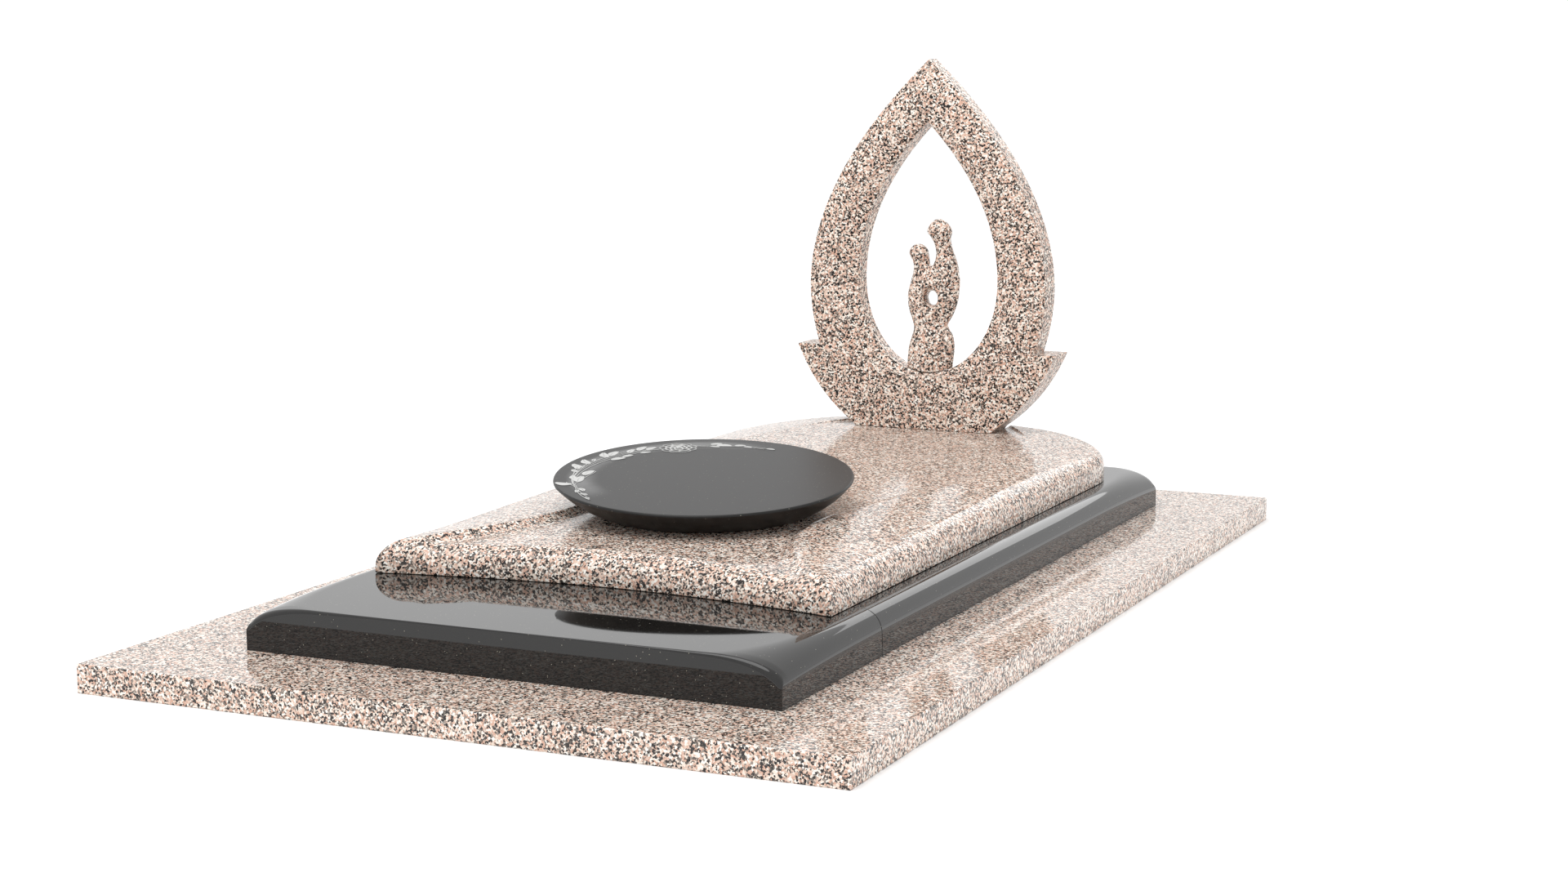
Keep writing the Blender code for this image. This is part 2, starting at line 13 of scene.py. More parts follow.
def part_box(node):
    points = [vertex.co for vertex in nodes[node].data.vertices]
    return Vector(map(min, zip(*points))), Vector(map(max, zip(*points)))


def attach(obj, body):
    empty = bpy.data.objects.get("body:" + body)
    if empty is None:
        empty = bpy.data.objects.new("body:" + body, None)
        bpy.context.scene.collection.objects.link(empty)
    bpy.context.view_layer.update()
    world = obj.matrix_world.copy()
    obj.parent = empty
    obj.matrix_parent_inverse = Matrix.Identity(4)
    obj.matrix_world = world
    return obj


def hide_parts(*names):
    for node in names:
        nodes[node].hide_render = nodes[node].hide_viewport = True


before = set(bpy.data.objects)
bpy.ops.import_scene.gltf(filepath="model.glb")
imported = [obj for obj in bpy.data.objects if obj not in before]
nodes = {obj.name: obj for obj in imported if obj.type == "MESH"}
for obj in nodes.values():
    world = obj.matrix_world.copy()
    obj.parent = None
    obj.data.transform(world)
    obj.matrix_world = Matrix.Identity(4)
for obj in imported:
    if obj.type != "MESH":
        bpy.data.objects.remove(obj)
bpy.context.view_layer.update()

# Places taken from the frame
PLINTH_LOW, PLINTH_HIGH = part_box("plinth_front")
PLINTH_FOOT = PLINTH_LOW.z
PLINTH_TOP = PLINTH_HIGH.z
PLINTH_HALF = PLINTH_HIGH.x
PLINTH_FRONT = PLINTH_LOW.y
FRONT_JOINT = PLINTH_HIGH.y
PLINTH_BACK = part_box("plinth_right")[1].y
SIDE_BLOCK_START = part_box("plinth_right")[0].y
SIDE_BLOCK_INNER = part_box("plinth_right")[0].x
BACK_BLOCK_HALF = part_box("plinth_back")[1].x
BACK_BLOCK_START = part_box("plinth_back")[0].y
COVER_LOW, COVER_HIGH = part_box("cover_slab")
COVER_FOOT = COVER_LOW.z
COVER_FRONT = COVER_LOW.y
COVER_BACK = COVER_HIGH.y
COVER_HALF = COVER_HIGH.x
COVER_LENGTH = COVER_BACK - COVER_FRONT

# Plinth carving
ROUNDING_WIDTH = 0.040
ROUNDING_HEIGHT = 0.045
ROUNDING_POWER = 2.2
FRONT_FLARE = 0.090
BACK_FLARE = 0.060
FLARE_REACH = 0.090
END_ARRIS = 0.0025
CORNER_ARRIS = 0.015
CORNER_ARRIS_REACH = 0.10
JOINT_ARRIS = 0.0015
STATION_STEP = 0.004
STATION_GROWTH = 0.0007
STATION_COUNT = 23
ROUNDING_STEPS = 28
PLINTH_TOP_STEPS = 36
ARRIS_STEPS = 10

# Cover slab carving
FRONT_HOLLOW = 0.057
BACK_RADIUS = 0.222
COVER_THICKNESS = 0.0544
EDGE_HEIGHT = 0.047
EDGE_WIDTH = 0.045
BACK_EDGE_HEIGHT = 0.030
BACK_EDGE_WIDTH = 0.028
EDGE_CHANGE = (0.70, 0.88)
BOW_REACH = 0.45
LOWER_ARRIS = 0.0015
COVER_ROWS = 70
CORNER_ROWS = 26
EDGE_STEPS = 16
PATH_FLOOR_STEPS = 10
PATH_STEP_STEPS = 12
WING_STEPS = 18

# Sunken path and crown of the cover slab: depths and heights in metres, and the plan in shares of the
# slab's length and half width
PATH_DEPTH = 0.0145
PATH_STEP_WIDTH = 0.034
PATH_NECK = 0.242 / 0.445
PATH_NECK_PLACE = 0.245
PATH_MOUTH = 8.72
PATH_MOUTH_POWER = 2.14
PATH_WIDEST = 0.93
PATH_BELLY = 0.34 / 0.445
PATH_BELLY_PLACE = 0.653
PATH_TAIL = 0.384
PATH_TAIL_LEAST = 0.02
PATH_FRONT_DEPTH = 0.76
PATH_FRONT_REACH = 0.07
PATH_FADE = 0.55
PATH_FADE_REACH = (0.25, 0.90)
WING_RISE = (0.0590, -0.0299)
WING_FALL = (0.0099, 0.0194)
FLOOR_RISE = (0.0619, -0.0384)
FLOOR_FALL = (0.0106, -0.0143)

# Disc
DISC_RADIUS = 0.2828
DISC_RIM = 0.008
DISC_BELLY = 0.068
DISC_BELLY_POWER = 5.0
DISC_BELLY_SETBACK = 0.015
DISC_HEIGHT = 0.0658
DISC_X = -0.0216
DISC_SETBACK = 0.474
DISC_Y = COVER_FRONT + DISC_SETBACK
DISC_TILT_BACK = 5.05
DISC_TILT_SIDE = 1.96
DISC_SIDES = 200
BELLY_RINGS = 40
SEAT_HALVINGS = 40

# Upright stone
STELE_HEIGHT = 0.8212
STELE_WIDTH = 0.561
STELE_SETBACK = 0.080
STELE_Y = COVER_BACK - STELE_SETBACK
RING_OUTER_DEPTH = 0.068
RING_APEX_DEPTH = 0.052
RING_INNER_DEPTH = 0.048
RING_INNER_TOP_DEPTH = 0.062
RING_BULGE = 0.012
RING_BULGE_POWER = 0.8
RING_ARRIS = 0.0035
RING_WIDEST = 0.3869
RING_OUTER_POWER = 1.92
RING_INNER_POWER = 2.08
LIMB_KNEE = 0.97
UPPER_STEPS = 60
LOWER_STEPS = 50
KNEE_STEPS = 30
OPENING_WIDTH = 0.3294
OPENING_TOP = 0.138
OPENING_FLOOR = 0.1252
OPENING_MIDDLE = 0.3312
FOOT_WIDTH = 0.324
FOOT_DEPTH = 0.102
FOOT_BOW = 0.010
FOOT_EDGE = 0.0035
HORN_SPAN = 0.612
HORN_HEIGHT = 0.1802
HORN_ARC = 0.390
CUP_ARRIS = 0.003
CUP_DIP = 0.0035
CUP_RISE = (0.115, 0.80)
FOOT_STEPS = 24
HORN_STEPS = 40

# Pair of figures
FIGURE_HEIGHT = 0.3454
FIGURE_DEPTH = 0.056
FIGURE_GRAIN = 0.0022
EYE_RADIUS = 0.0135
EYE_X = 0.0055
EYE_PLACE = 0.483
EYE_STRETCH = 1.15
EYE_FLARE = 1.5
EYE_FLARE_POWER = 1.8
EYE_REACH = 0.75

# Spray of roses on the disc: a stem is rows of (angle in degrees, reach in metres) round the disc,
# and a leaf is (angle, reach, lean outwards in degrees, length)
RELIEF_HEIGHT = 0.0014
STEM_THICKNESS = 0.0010
ROSE_PLACE = (129.3, 0.216)
ROSE_RADIUS = 0.038
LEAF_SCALE = 1.05
STEMS = (
    ((142, 0.222), (160, 0.231), (180, 0.240), (200, 0.246), (222, 0.249)),
    ((138, 0.217), (158, 0.224), (180, 0.231), (200, 0.240), (222, 0.249)),
    ((144, 0.240), (162, 0.237), (182, 0.237), (202, 0.243), (222, 0.249)),
    ((150, 0.214), (168, 0.219), (186, 0.226), (204, 0.237), (222, 0.249)),
    ((179, 0.245), (190, 0.240), (204, 0.243), (222, 0.249)),
    ((192, 0.250), (202, 0.246), (222, 0.249)),
    ((215, 0.259), (219, 0.254), (224, 0.250)),
    ((196, 0.207), (204, 0.216), (213, 0.232), (222, 0.249)),
    ((222, 0.249), (231, 0.257), (245, 0.266)),
    ((220, 0.246), (231, 0.252), (240, 0.257)),
    ((79, 0.229), (90, 0.230), (101, 0.231), (122, 0.224)),
    ((84, 0.223), (98, 0.224), (122, 0.217)),
)
LEAVES = (
    (198, 0.240, 35, 0.024), (193, 0.243, 20, 0.026), (190, 0.240, 50, 0.034), (183, 0.236, 45, 0.036),
    (178, 0.240, 15, 0.020), (169, 0.232, 50, 0.038), (166, 0.236, 15, 0.036), (172, 0.216, -30, 0.032),
    (164, 0.212, -15, 0.026), (156, 0.226, 30, 0.030), (150, 0.230, 25, 0.034), (146, 0.226, 10, 0.028),
    (152, 0.212, -20, 0.024), (219, 0.250, 55, 0.036), (216, 0.238, -22, 0.042), (204, 0.226, -28, 0.038),
    (211, 0.240, 8, 0.030), (228, 0.254, 160, 0.020), (234, 0.258, 200, 0.020), (240, 0.262, 170, 0.018),
    (226, 0.246, 185, 0.024), (113, 0.232, 15, 0.026), (110, 0.226, -5, 0.032), (113, 0.219, -20, 0.022),
    (101, 0.229, 8, 0.024), (96, 0.225, -8, 0.020), (84, 0.229, 0, 0.020),
)
STEM_STEPS = 40
STEM_SIDES = 8
LEAF_STEPS = 16
LEAF_SECTION = (
    (-1.0, -0.02), (-0.85, 0.026), (-0.5, 0.050), (-0.12, 0.036), (0.0, 0.012),
    (0.12, 0.036), (0.5, 0.050), (0.85, 0.026), (1.0, -0.02),
)

# Rose: rings of petals from the outermost in, as (count, place, half width, height, turn) in shares of
# the rose's radius, of the relief's height and of one petal's turn
PETALS = (
    (9, 0.70, 0.30, 0.55, 0.1),
    (7, 0.46, 0.27, 0.85, 0.5),
    (5, 0.26, 0.22, 1.15, 0.2),
    (3, 0.10, 0.14, 1.45, 0.9),
)
PETAL_STRETCH = 1.15
PETAL_EDGE = 0.10
ROSE_DIP = -0.0006
ROSE_UNDER = 0.001
ROSE_RINGS = 56
ROSE_SIDES = 150

# Stone colours, and the scales of their grains and clouds
GRAIN_STOPS = (
    (0.0, (0.030, 0.025, 0.022)),
    (0.13, (0.120, 0.098, 0.084)),
    (0.23, (0.290, 0.240, 0.205)),
    (0.35, (0.620, 0.385, 0.290)),
    (0.53, (0.700, 0.520, 0.425)),
    (0.70, (0.810, 0.710, 0.615)),
    (0.86, (0.890, 0.850, 0.790)),
)
GRAINS = 285.0
GRAIN_WANDER = 0.003
WANDER_CLOUDS = 420.0
DRIFT = 0.35
DRIFT_CLOUDS = 40.0
MICA_GRAINS = 300.0
MICA_CLOUDS = 90.0
MICA_SHARE = 0.135
MICA_DRIFT = 0.16
MICA_SHIFT = (0.31, 0.17, 0.05)
MICA_BLACK = (0.012, 0.010, 0.010, 1.0)
FLECK_GRAINS = 260.0
FLECK_SHARE = 0.045
FLECK_SIZE = 0.22
FLECK_PALE = (0.24, 0.23, 0.19, 1.0)
DARK_CLOUDS = 300.0
DARK_STONE = ((0.004, 0.004, 0.004, 1.0), (0.014, 0.013, 0.012, 1.0))
POLISH_CLOUDS = 14.0
POLISH_SWELL = 0.0004
MIRROR_ROUGHNESS = 0.03
SATIN_ROUGHNESS = 0.34
# Painted shade for the relief's grooves, then the relief's own silvery blasted colour
RELIEF_PAINTED_SHADE = (0.025, 0.025, 0.025, 1.0)
RELIEF_SILVER = (0.52, 0.52, 0.51, 1.0)
FLOOR_WHITES = ((0.95, 0.95, 0.95, 1.0), (0.96, 0.96, 0.96, 1.0))

# Bloom on the disc: where it fades in and out, by reach in metres and by angle in radians
BLOOM_INNER = (0.195, 0.232)
BLOOM_OUTER = (0.262, 0.242)
BLOOM_START = (-1.15, -0.75)
BLOOM_END = (1.75, 1.10)
BLOOM_CLOUDS = 24.0
BLOOM_SHARE = 0.16
BLOOM_PALE = (0.80, 0.80, 0.80, 1.0)

# Studio and camera
WORLD_STRENGTH = 1.08
FLOOR_REACH = 30.0
LAMP_AIM = Vector((0.0, 0.0, 0.1))
LENS = 61.29
SENSOR_WIDTH = 36.0
CAMERA_PLACE = (2.1648, -4.6559, 1.089)
CAMERA_DIP = 0.1521
CAMERA_TURN = 0.4267

SEAT_GAP = 0.0003


# Shader kit

class Socket:
    """One output of a node; arithmetic on it adds Math nodes to its recipe."""

    def __init__(self, recipe, output):
        self.recipe = recipe
        self.output = output

    def maths(self, operation, left, right):
        return self.recipe.node("ShaderNodeMath", {"operation": operation}, {0: left, 1: right})

    def __add__(self, other):
        return self.maths("ADD", self, other)

    def __radd__(self, other):
        return self.maths("ADD", other, self)

    def __sub__(self, other):
        return self.maths("SUBTRACT", self, other)

    def __rsub__(self, other):
        return self.maths("SUBTRACT", other, self)

    def __mul__(self, other):
        return self.maths("MULTIPLY", self, other)

    def __rmul__(self, other):
        return self.maths("MULTIPLY", other, self)

    def __pow__(self, other):
        return self.maths("POWER", self, other)

    def __lt__(self, other):
        return self.maths("LESS_THAN", self, other)

    def __gt__(self, other):
        return self.maths("GREATER_THAN", self, other)


class Recipe:
    """A material's node tree, filled through one node-making method."""

    def __init__(self, name):
        self.material = bpy.data.materials.new(name)
        self.material.use_nodes = True
        self.tree = self.material.node_tree
        self.tree.nodes.clear()

    def node(self, kind, settings, inputs, output=0):
        step = self.tree.nodes.new(kind)
        for name, value in settings.items():
            if name == "stops":
                self.set_stops(step.color_ramp, value)
            elif name == "interpolation":
                step.color_ramp.interpolation = value
            else:
                setattr(step, name, value)
        for name, value in inputs.items():
            if isinstance(value, Socket):
                self.tree.links.new(value.output, step.inputs[name])
            else:
                step.inputs[name].default_value = value
        return Socket(self, step.outputs[output])

    def set_stops(self, ramp, stops):
        while len(ramp.elements) < len(stops):
            ramp.elements.new(0.5)
        for element, (position, colour) in zip(ramp.elements, stops):
            element.position = position
            element.color = (*colour, 1.0)

    def place(self, shift=(0.0, 0.0, 0.0)):
        """Coordinates on the stone, moved so that no two stones share their grain."""
        here = self.node("ShaderNodeTexCoord", {}, {}, "Object")
        return self.node("ShaderNodeMapping", {}, {"Vector": here, "Location": shift})

    def vector(self, operation, left, right):
        return self.node("ShaderNodeVectorMath", {"operation": operation}, {0: left, 1: right})

    def blend(self, share, first, second):
        kind = {"data_type": "RGBA"}
        return self.node("ShaderNodeMix", kind, {"Factor": share, 6: first, 7: second}, 2)

    def noise(self, place, scale, detail=2.0, output="Fac"):
        inputs = {"Vector": place, "Scale": scale, "Detail": detail}
        return self.node("ShaderNodeTexNoise", {}, inputs, output)

    def cells(self, place, scale, output="Distance"):
        return self.node("ShaderNodeTexVoronoi", {}, {"Vector": place, "Scale": scale}, output)

    def first_part(self, colour):
        return self.node("ShaderNodeSeparateColor", {}, {"Color": colour}, "Red")

    def part(self, vector, axis):
        return self.node("ShaderNodeSeparateXYZ", {}, {"Vector": vector}, axis)

    def smooth(self, value, start, end):
        """From 0 at start to 1 at end, eased; start may be the larger."""
        low, high = sorted((start, end))
        limits = (0.0, 1.0) if start < end else (1.0, 0.0)
        inputs = {"Value": value, "From Min": low, "From Max": high}
        inputs.update({"To Min": limits[0], "To Max": limits[1]})
        return self.node("ShaderNodeMapRange", {"interpolation_type": "SMOOTHSTEP"}, inputs)

    def finish(self, inputs):
        shader = self.node("ShaderNodeBsdfPrincipled", {}, inputs, "BSDF")
        end = self.tree.nodes.new("ShaderNodeOutputMaterial")
        self.tree.links.new(shader.output, end.inputs["Surface"])
        return self.material


def pink_granite(name, shift, roughness, ior):
    """Salmon, cream and taupe grains with black mica, polished."""
    recipe = Recipe(name)
    place = recipe.place(shift)
    wander = recipe.noise(place, WANDER_CLOUDS, 1.0, "Color")
    push = recipe.vector("SUBTRACT", wander, (0.5, 0.5, 0.5))
    bent = recipe.vector("ADD", place, recipe.vector("MULTIPLY", push, (GRAIN_WANDER,) * 3))
    grain = recipe.first_part(recipe.cells(bent, GRAINS, "Color"))
    drift = recipe.noise(place, DRIFT_CLOUDS)
    pick = grain + DRIFT * (drift - 0.5)
    ramp_kind = {"stops": GRAIN_STOPS, "interpolation": "CONSTANT"}
    colour = recipe.node("ShaderNodeValToRGB", ramp_kind, {"Fac": pick}, "Color")
    mica_bent = recipe.vector("ADD", bent, MICA_SHIFT)
    mica_cells = recipe.first_part(recipe.cells(mica_bent, MICA_GRAINS, "Color"))
    mica = mica_cells < MICA_SHARE + MICA_DRIFT * (recipe.noise(place, MICA_CLOUDS) - 0.5)
    colour = recipe.blend(mica, colour, MICA_BLACK)
    rough = roughness + 0.04 * mica
    return recipe.finish({"Base Color": colour, "Roughness": rough, "IOR": ior})


def dark_stone(recipe, place):
    """Nearly black colour with sparse pale flecks, and where the flecks are."""
    near = recipe.cells(place, FLECK_GRAINS)
    chosen = recipe.first_part(recipe.cells(place, FLECK_GRAINS, "Color")) < FLECK_SHARE
    fleck = chosen * (near < FLECK_SIZE)
    dark = recipe.blend(recipe.noise(place, DARK_CLOUDS), *DARK_STONE)
    return recipe.blend(fleck, dark, FLECK_PALE), fleck


def black_granite(name, shift):
    """Black stone under a mirror polish."""
    recipe = Recipe(name)
    place = recipe.place(shift)
    colour, fleck = dark_stone(recipe, place)
    rough = MIRROR_ROUGHNESS + 0.12 * fleck
    swell = recipe.noise(place, POLISH_CLOUDS, 1.0)
    inputs = {"Height": swell, "Strength": 0.01, "Distance": POLISH_SWELL}
    bump = recipe.node("ShaderNodeBump", {}, inputs)
    return recipe.finish({"Base Color": colour, "Roughness": rough, "Normal": bump, "IOR": 1.5})


def disc_granite():
    """Black stone with a satin finish and a soft pale bloom blasted round the spray."""
    recipe = Recipe("black_granite_disc")
    place = recipe.place()
    colour, fleck = dark_stone(recipe, place)
    from_centre = recipe.vector("SUBTRACT", place, (DISC_X, DISC_Y, 0.0))
    x = recipe.part(from_centre, "X")
    y = recipe.part(from_centre, "Y")
    reach = (x * x + y * y) ** 0.5
    angle = recipe.node("ShaderNodeMath", {"operation": "ARCTAN2"}, {0: y, 1: 0.0 - x})
    band = recipe.smooth(reach, *BLOOM_INNER) * recipe.smooth(reach, *BLOOM_OUTER)
    stretch = recipe.smooth(angle, *BLOOM_START) * recipe.smooth(angle, *BLOOM_END)
    cloud = 0.45 + 0.9 * recipe.noise(place, BLOOM_CLOUDS)
    bloom = band * stretch * cloud * BLOOM_SHARE
    colour = recipe.blend(bloom, colour, BLOOM_PALE)
    rough = SATIN_ROUGHNESS + 0.1 * fleck
    return recipe.finish({"Base Color": colour, "Roughness": rough, "IOR": 1.33})


def blasted_relief_with_painted_shade():
    """Silvery matt carving; painted shade darkens its grooves, by each point's height above the disc."""
    recipe = Recipe("silvered_relief_with_painted_shade")
    place = recipe.place()
    height = recipe.node("ShaderNodeAttribute", {"attribute_name": "height"}, {}, "Fac")
    # Painted shade: the carving's low parts, in its grooves and beside the disc, are coloured dark, and
    # it turns silver as it rises
    share = recipe.smooth(height, 0.0001, RELIEF_HEIGHT * 0.8)
    speck = 0.85 + 0.3 * recipe.noise(place, 500.0)
    colour = recipe.blend(share, RELIEF_PAINTED_SHADE, RELIEF_SILVER)
    return recipe.finish({"Base Color": colour, "Roughness": 0.5 * speck, "IOR": 1.45})


def floor_paint():
    recipe = Recipe("studio_floor")
    tint = recipe.noise(recipe.place(), 3.0)
    colour = recipe.blend(tint, *FLOOR_WHITES)
    return recipe.finish({"Base Color": colour, "Roughness": 0.9, "Specular IOR Level": 0.0})


# Mesh kit

def ramp(value, start, end):
    share = min(max((value - start) / (end - start), 0.0), 1.0)
    return share * share * (3.0 - 2.0 * share)


def spread(start, end, count):
    return [start + (end - start) * i / count for i in range(count + 1)]


def curve(rows, position):
    """Smooth value between (position, value) rows, sorted by position."""
    places = [row[0] for row in rows]
    values = [row[1] for row in rows]
    if position <= places[0]:
        return values[0]
    if position >= places[-1]:
        return values[-1]
    i = max(k for k in range(len(places) - 1) if places[k] <= position)

    def slope(k):
        if k == 0 or k == len(places) - 1:
            return 0.0
        return (values[k + 1] - values[k - 1]) / (places[k + 1] - places[k - 1])

    step = places[i + 1] - places[i]
    u = (position - places[i]) / step
    first = (1 + 2 * u) * (1 - u) ** 2 * values[i] + u * (1 - u) ** 2 * step * slope(i)
    second = u * u * (3 - 2 * u) * values[i + 1] - u * u * (1 - u) * step * slope(i + 1)
    return first + second


def link_object(name, data):
    thing = bpy.data.objects.new(name, data)
    bpy.context.collection.objects.link(thing)
    return thing


def new_piece(name, mesh_maker, material, sharp=35.0):
    mesh = bpy.data.meshes.new(name)
    shape = bmesh.new()
    mesh_maker(shape)
    bmesh.ops.recalc_face_normals(shape, faces=shape.faces)
    shape.to_mesh(mesh)
    shape.free()
    mesh.shade_smooth()
    mesh.set_sharp_from_angle(angle=radians(sharp))
    mesh.materials.append(material)
    return link_object(name, mesh)


def bake(piece):
    """Turn a piece's modifiers into its plain mesh."""
    graph = bpy.context.evaluated_depsgraph_get()
    mesh = bpy.data.meshes.new_from_object(piece.evaluated_get(graph))
    piece.modifiers.clear()
    piece.data = mesh


def even_shading(piece):
    """Keep flat faces flat beside rounded edges, so that the polish mirrors cleanly."""
    step = piece.modifiers.new("even_shading", "WEIGHTED_NORMAL")
    step.keep_sharp = True
    bake(piece)


def join_with(piece, other, operation):
    step = piece.modifiers.new("joint", "BOOLEAN")
    step.operation = operation
    step.solver = "EXACT"
    step.object = other
    bake(piece)
    bpy.data.objects.remove(other, do_unlink=True)


def hand_over(piece, node):
    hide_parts(node)
    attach(piece, "root")


def skin(shape, rings, looped=False):
    """Faces between rings of equal point count, with an end face at each end unless they close a loop."""
    rows = [[shape.verts.new(point) for point in ring] for ring in rings]
    next_rows = rows[1:] + rows[:1] if looped else rows[1:]
    for low, high in zip(rows, next_rows):
        count = len(low)
        for i in range(count):
            j = (i + 1) % count
            shape.faces.new((low[i], low[j], high[j], high[i]))
    if not looped:
        shape.faces.new(list(reversed(rows[0])))
        shape.faces.new(rows[-1])


# Plinth

def rounding_width(y):
    to_front = y - PLINTH_FRONT
    to_back = PLINTH_BACK - y
    flare = FRONT_FLARE * exp(-to_front / FLARE_REACH) + BACK_FLARE * exp(-to_back / FLARE_REACH)
    return ROUNDING_WIDTH + flare


def end_arris(x, z):
    """Radius of the quarter round on an end face's top edge, which grows towards the two corners."""
    to_corner = PLINTH_HALF - abs(x)
    wide = END_ARRIS + CORNER_ARRIS * exp(-to_corner / CORNER_ARRIS_REACH)
    return max(min(wide, z - PLINTH_TOP + ROUNDING_HEIGHT), SEAT_GAP)


def rounded_side(y):
    """Points (x, z, turn) of the rounded side at +X, from the flat top (turn 0) to the wall (turn 1)."""
    width = rounding_width(y)
    points = []
    for share in spread(0.0, 1.0, ROUNDING_STEPS):
        out = sin(share * pi / 2)
        level = max(1 - out ** ROUNDING_POWER, 0.0) ** (1 / ROUNDING_POWER)
        z = PLINTH_TOP - ROUNDING_HEIGHT * (1 - level)
        points.append((PLINTH_HALF - width * (1 - out), z, share))
    return points


def plinth_section(low_x, high_x, y):
    """Points (x, z, turn) from a block's left foot over its top to its right foot."""
    side = rounded_side(y)
    if low_x is None:
        left = [(-PLINTH_HALF, PLINTH_FOOT, -1.0)] + [(-x, z, -turn) for x, z, turn in reversed(side)]
    else:
        left = [(low_x, PLINTH_FOOT, 0.0), (low_x, PLINTH_TOP - JOINT_ARRIS, 0.0)]
        left.append((low_x + JOINT_ARRIS, PLINTH_TOP, 0.0))
    if high_x is None:
        right = side + [(PLINTH_HALF, PLINTH_FOOT, 1.0)]
    else:
        right = [(high_x - JOINT_ARRIS, PLINTH_TOP, 0.0), (high_x, PLINTH_TOP - JOINT_ARRIS, 0.0)]
        right.append((high_x, PLINTH_FOOT, 0.0))
    middle = (left[-1][0] + right[0][0]) / 2
    half = (right[0][0] - left[-1][0]) / 2
    turns = spread(0.0, pi, PLINTH_TOP_STEPS)[1:-1]
    top = [(middle - half * cos(turn), PLINTH_TOP, 0.0) for turn in turns]
    return left + top + right


def plinth_stations(low, high):
    """Rows (y, away, fall, is_end); away and fall are shares of an arris."""
    quarter = [(1 - cos(a), 1 - sin(a), True) for a in spread(0.0, pi / 2, ARRIS_STEPS)]
    joint = [(0.0, 1.0, False), (1.0, 0.0, False)]
    start = quarter if low <= PLINTH_FRONT + 1e-6 else joint
    end = quarter if high >= PLINTH_BACK - 1e-6 else joint
    widest = END_ARRIS + CORNER_ARRIS
    steps = [STATION_STEP * k + STATION_GROWTH * k * k for k in range(1, STATION_COUNT + 1)]
    middle = [PLINTH_FRONT + widest + step for step in steps]
    middle += [PLINTH_BACK - widest - step for step in reversed(steps)]
    rows = [(low, away, fall, is_end) for away, fall, is_end in start]
    rows += [(y, 0.0, 0.0, False) for y in middle if low + STATION_STEP < y < high - STATION_STEP]
    return rows + [(high, -away, fall, is_end) for away, fall, is_end in reversed(end)]


def plinth_block(low_x, high_x, low_y, high_y):
    """A block between two X values, where None stands for a rounded side."""
    def make(shape):
        rings = []
        for y, away, fall, is_end in plinth_stations(low_y, high_y):
            ring = []
            for x, z, turn in plinth_section(low_x, high_x, y):
                if is_end:
                    arris = end_arris(x, z)
                    ring.append((x, y + away * arris, max(z - fall * arris, PLINTH_FOOT)))
                else:
                    fallen = z - fall * (1 - abs(turn)) * JOINT_ARRIS
                    inset = fall * turn * JOINT_ARRIS
                    ring.append((x - inset, y + away * JOINT_ARRIS, max(fallen, PLINTH_FOOT)))
            rings.append(ring)
        skin(shape, rings)

    return make


def make_plinth():
    blocks = {
        "plinth_front": (None, None, PLINTH_FRONT, FRONT_JOINT),
        "plinth_back": (-BACK_BLOCK_HALF, BACK_BLOCK_HALF, BACK_BLOCK_START, PLINTH_BACK),
        "plinth_left": (None, -SIDE_BLOCK_INNER, SIDE_BLOCK_START, PLINTH_BACK),
        "plinth_right": (SIDE_BLOCK_INNER, None, SIDE_BLOCK_START, PLINTH_BACK),
    }
    for number, (name, extent) in enumerate(blocks.items()):
        stone = black_granite("black_granite_" + str(number + 1), (0.37 * number, 0.11, 0.23))
        block = new_piece("polished_" + name, plinth_block(*extent), stone)
        even_shading(block)
        hand_over(block, name)


# Cover slab

def cover_share(y):
    return (y - COVER_FRONT) / COVER_LENGTH


def path_crest(y):
    """Half width of the sunken path at its upper edge."""
    v = cover_share(y)
    neck = COVER_HALF * PATH_NECK
    belly = COVER_HALF * PATH_BELLY
    if v < PATH_NECK_PLACE:
        mouth = PATH_MOUTH * (PATH_NECK_PLACE - v) ** PATH_MOUTH_POWER
        return min(neck + COVER_HALF * mouth, PATH_WIDEST * COVER_HALF)
    if v < PATH_BELLY_PLACE:
        way = (v - PATH_NECK_PLACE) / (PATH_BELLY_PLACE - PATH_NECK_PLACE)
        return neck + (belly - neck) * (1 - cos(pi * way)) / 2
    return belly * sqrt(max(1 - ((v - PATH_BELLY_PLACE) / PATH_TAIL) ** 2, PATH_TAIL_LEAST))


def path_rise(y):
    """Height of the path's upper edge above the plain crowned surface."""
    v = cover_share(y)
    front = (1 - PATH_FRONT_DEPTH) * ramp(v, 0.0, PATH_FRONT_REACH)
    return PATH_DEPTH * (PATH_FRONT_DEPTH + front - PATH_FADE * ramp(v, *PATH_FADE_REACH))


def path_step(y):
    return PATH_STEP_WIDTH * path_rise(y) / PATH_DEPTH


def crowned(x, y, rise, fall):
    """Height of a surface that rises along the slab and falls to both sides."""
    v = cover_share(y)
    across = x / COVER_HALF
    along = rise[0] * v + rise[1] * v * v
    return COVER_FOOT + COVER_THICKNESS + along - (fall[0] + fall[1] * v) * across * across


def wing_top(x, y):
    crest = path_crest(y) / COVER_HALF
    u = min(max((abs(x) / COVER_HALF - crest) / (1 - crest), 0.0), 1.0)
    return crowned(x, y, WING_RISE, WING_FALL) + path_rise(y) * (1 - u * u)


def path_floor(x, y):
    return crowned(x, y, FLOOR_RISE, FLOOR_FALL)


def cover_top(x, y):
    """Height of the cover slab's upper surface inside its rounded edge."""
    crest = path_crest(y)
    if abs(x) >= crest:
        return wing_top(x, y)
    floor = path_floor(x, y)
    share = min((crest - abs(x)) / path_step(y), 1.0)
    return floor + (wing_top(crest, y) - floor) * (1 - share) ** 2


def edge_width(y):
    return EDGE_WIDTH + (BACK_EDGE_WIDTH - EDGE_WIDTH) * ramp(cover_share(y), *EDGE_CHANGE)


def edge_height(y):
    return EDGE_HEIGHT + (BACK_EDGE_HEIGHT - EDGE_HEIGHT) * ramp(cover_share(y), *EDGE_CHANGE)


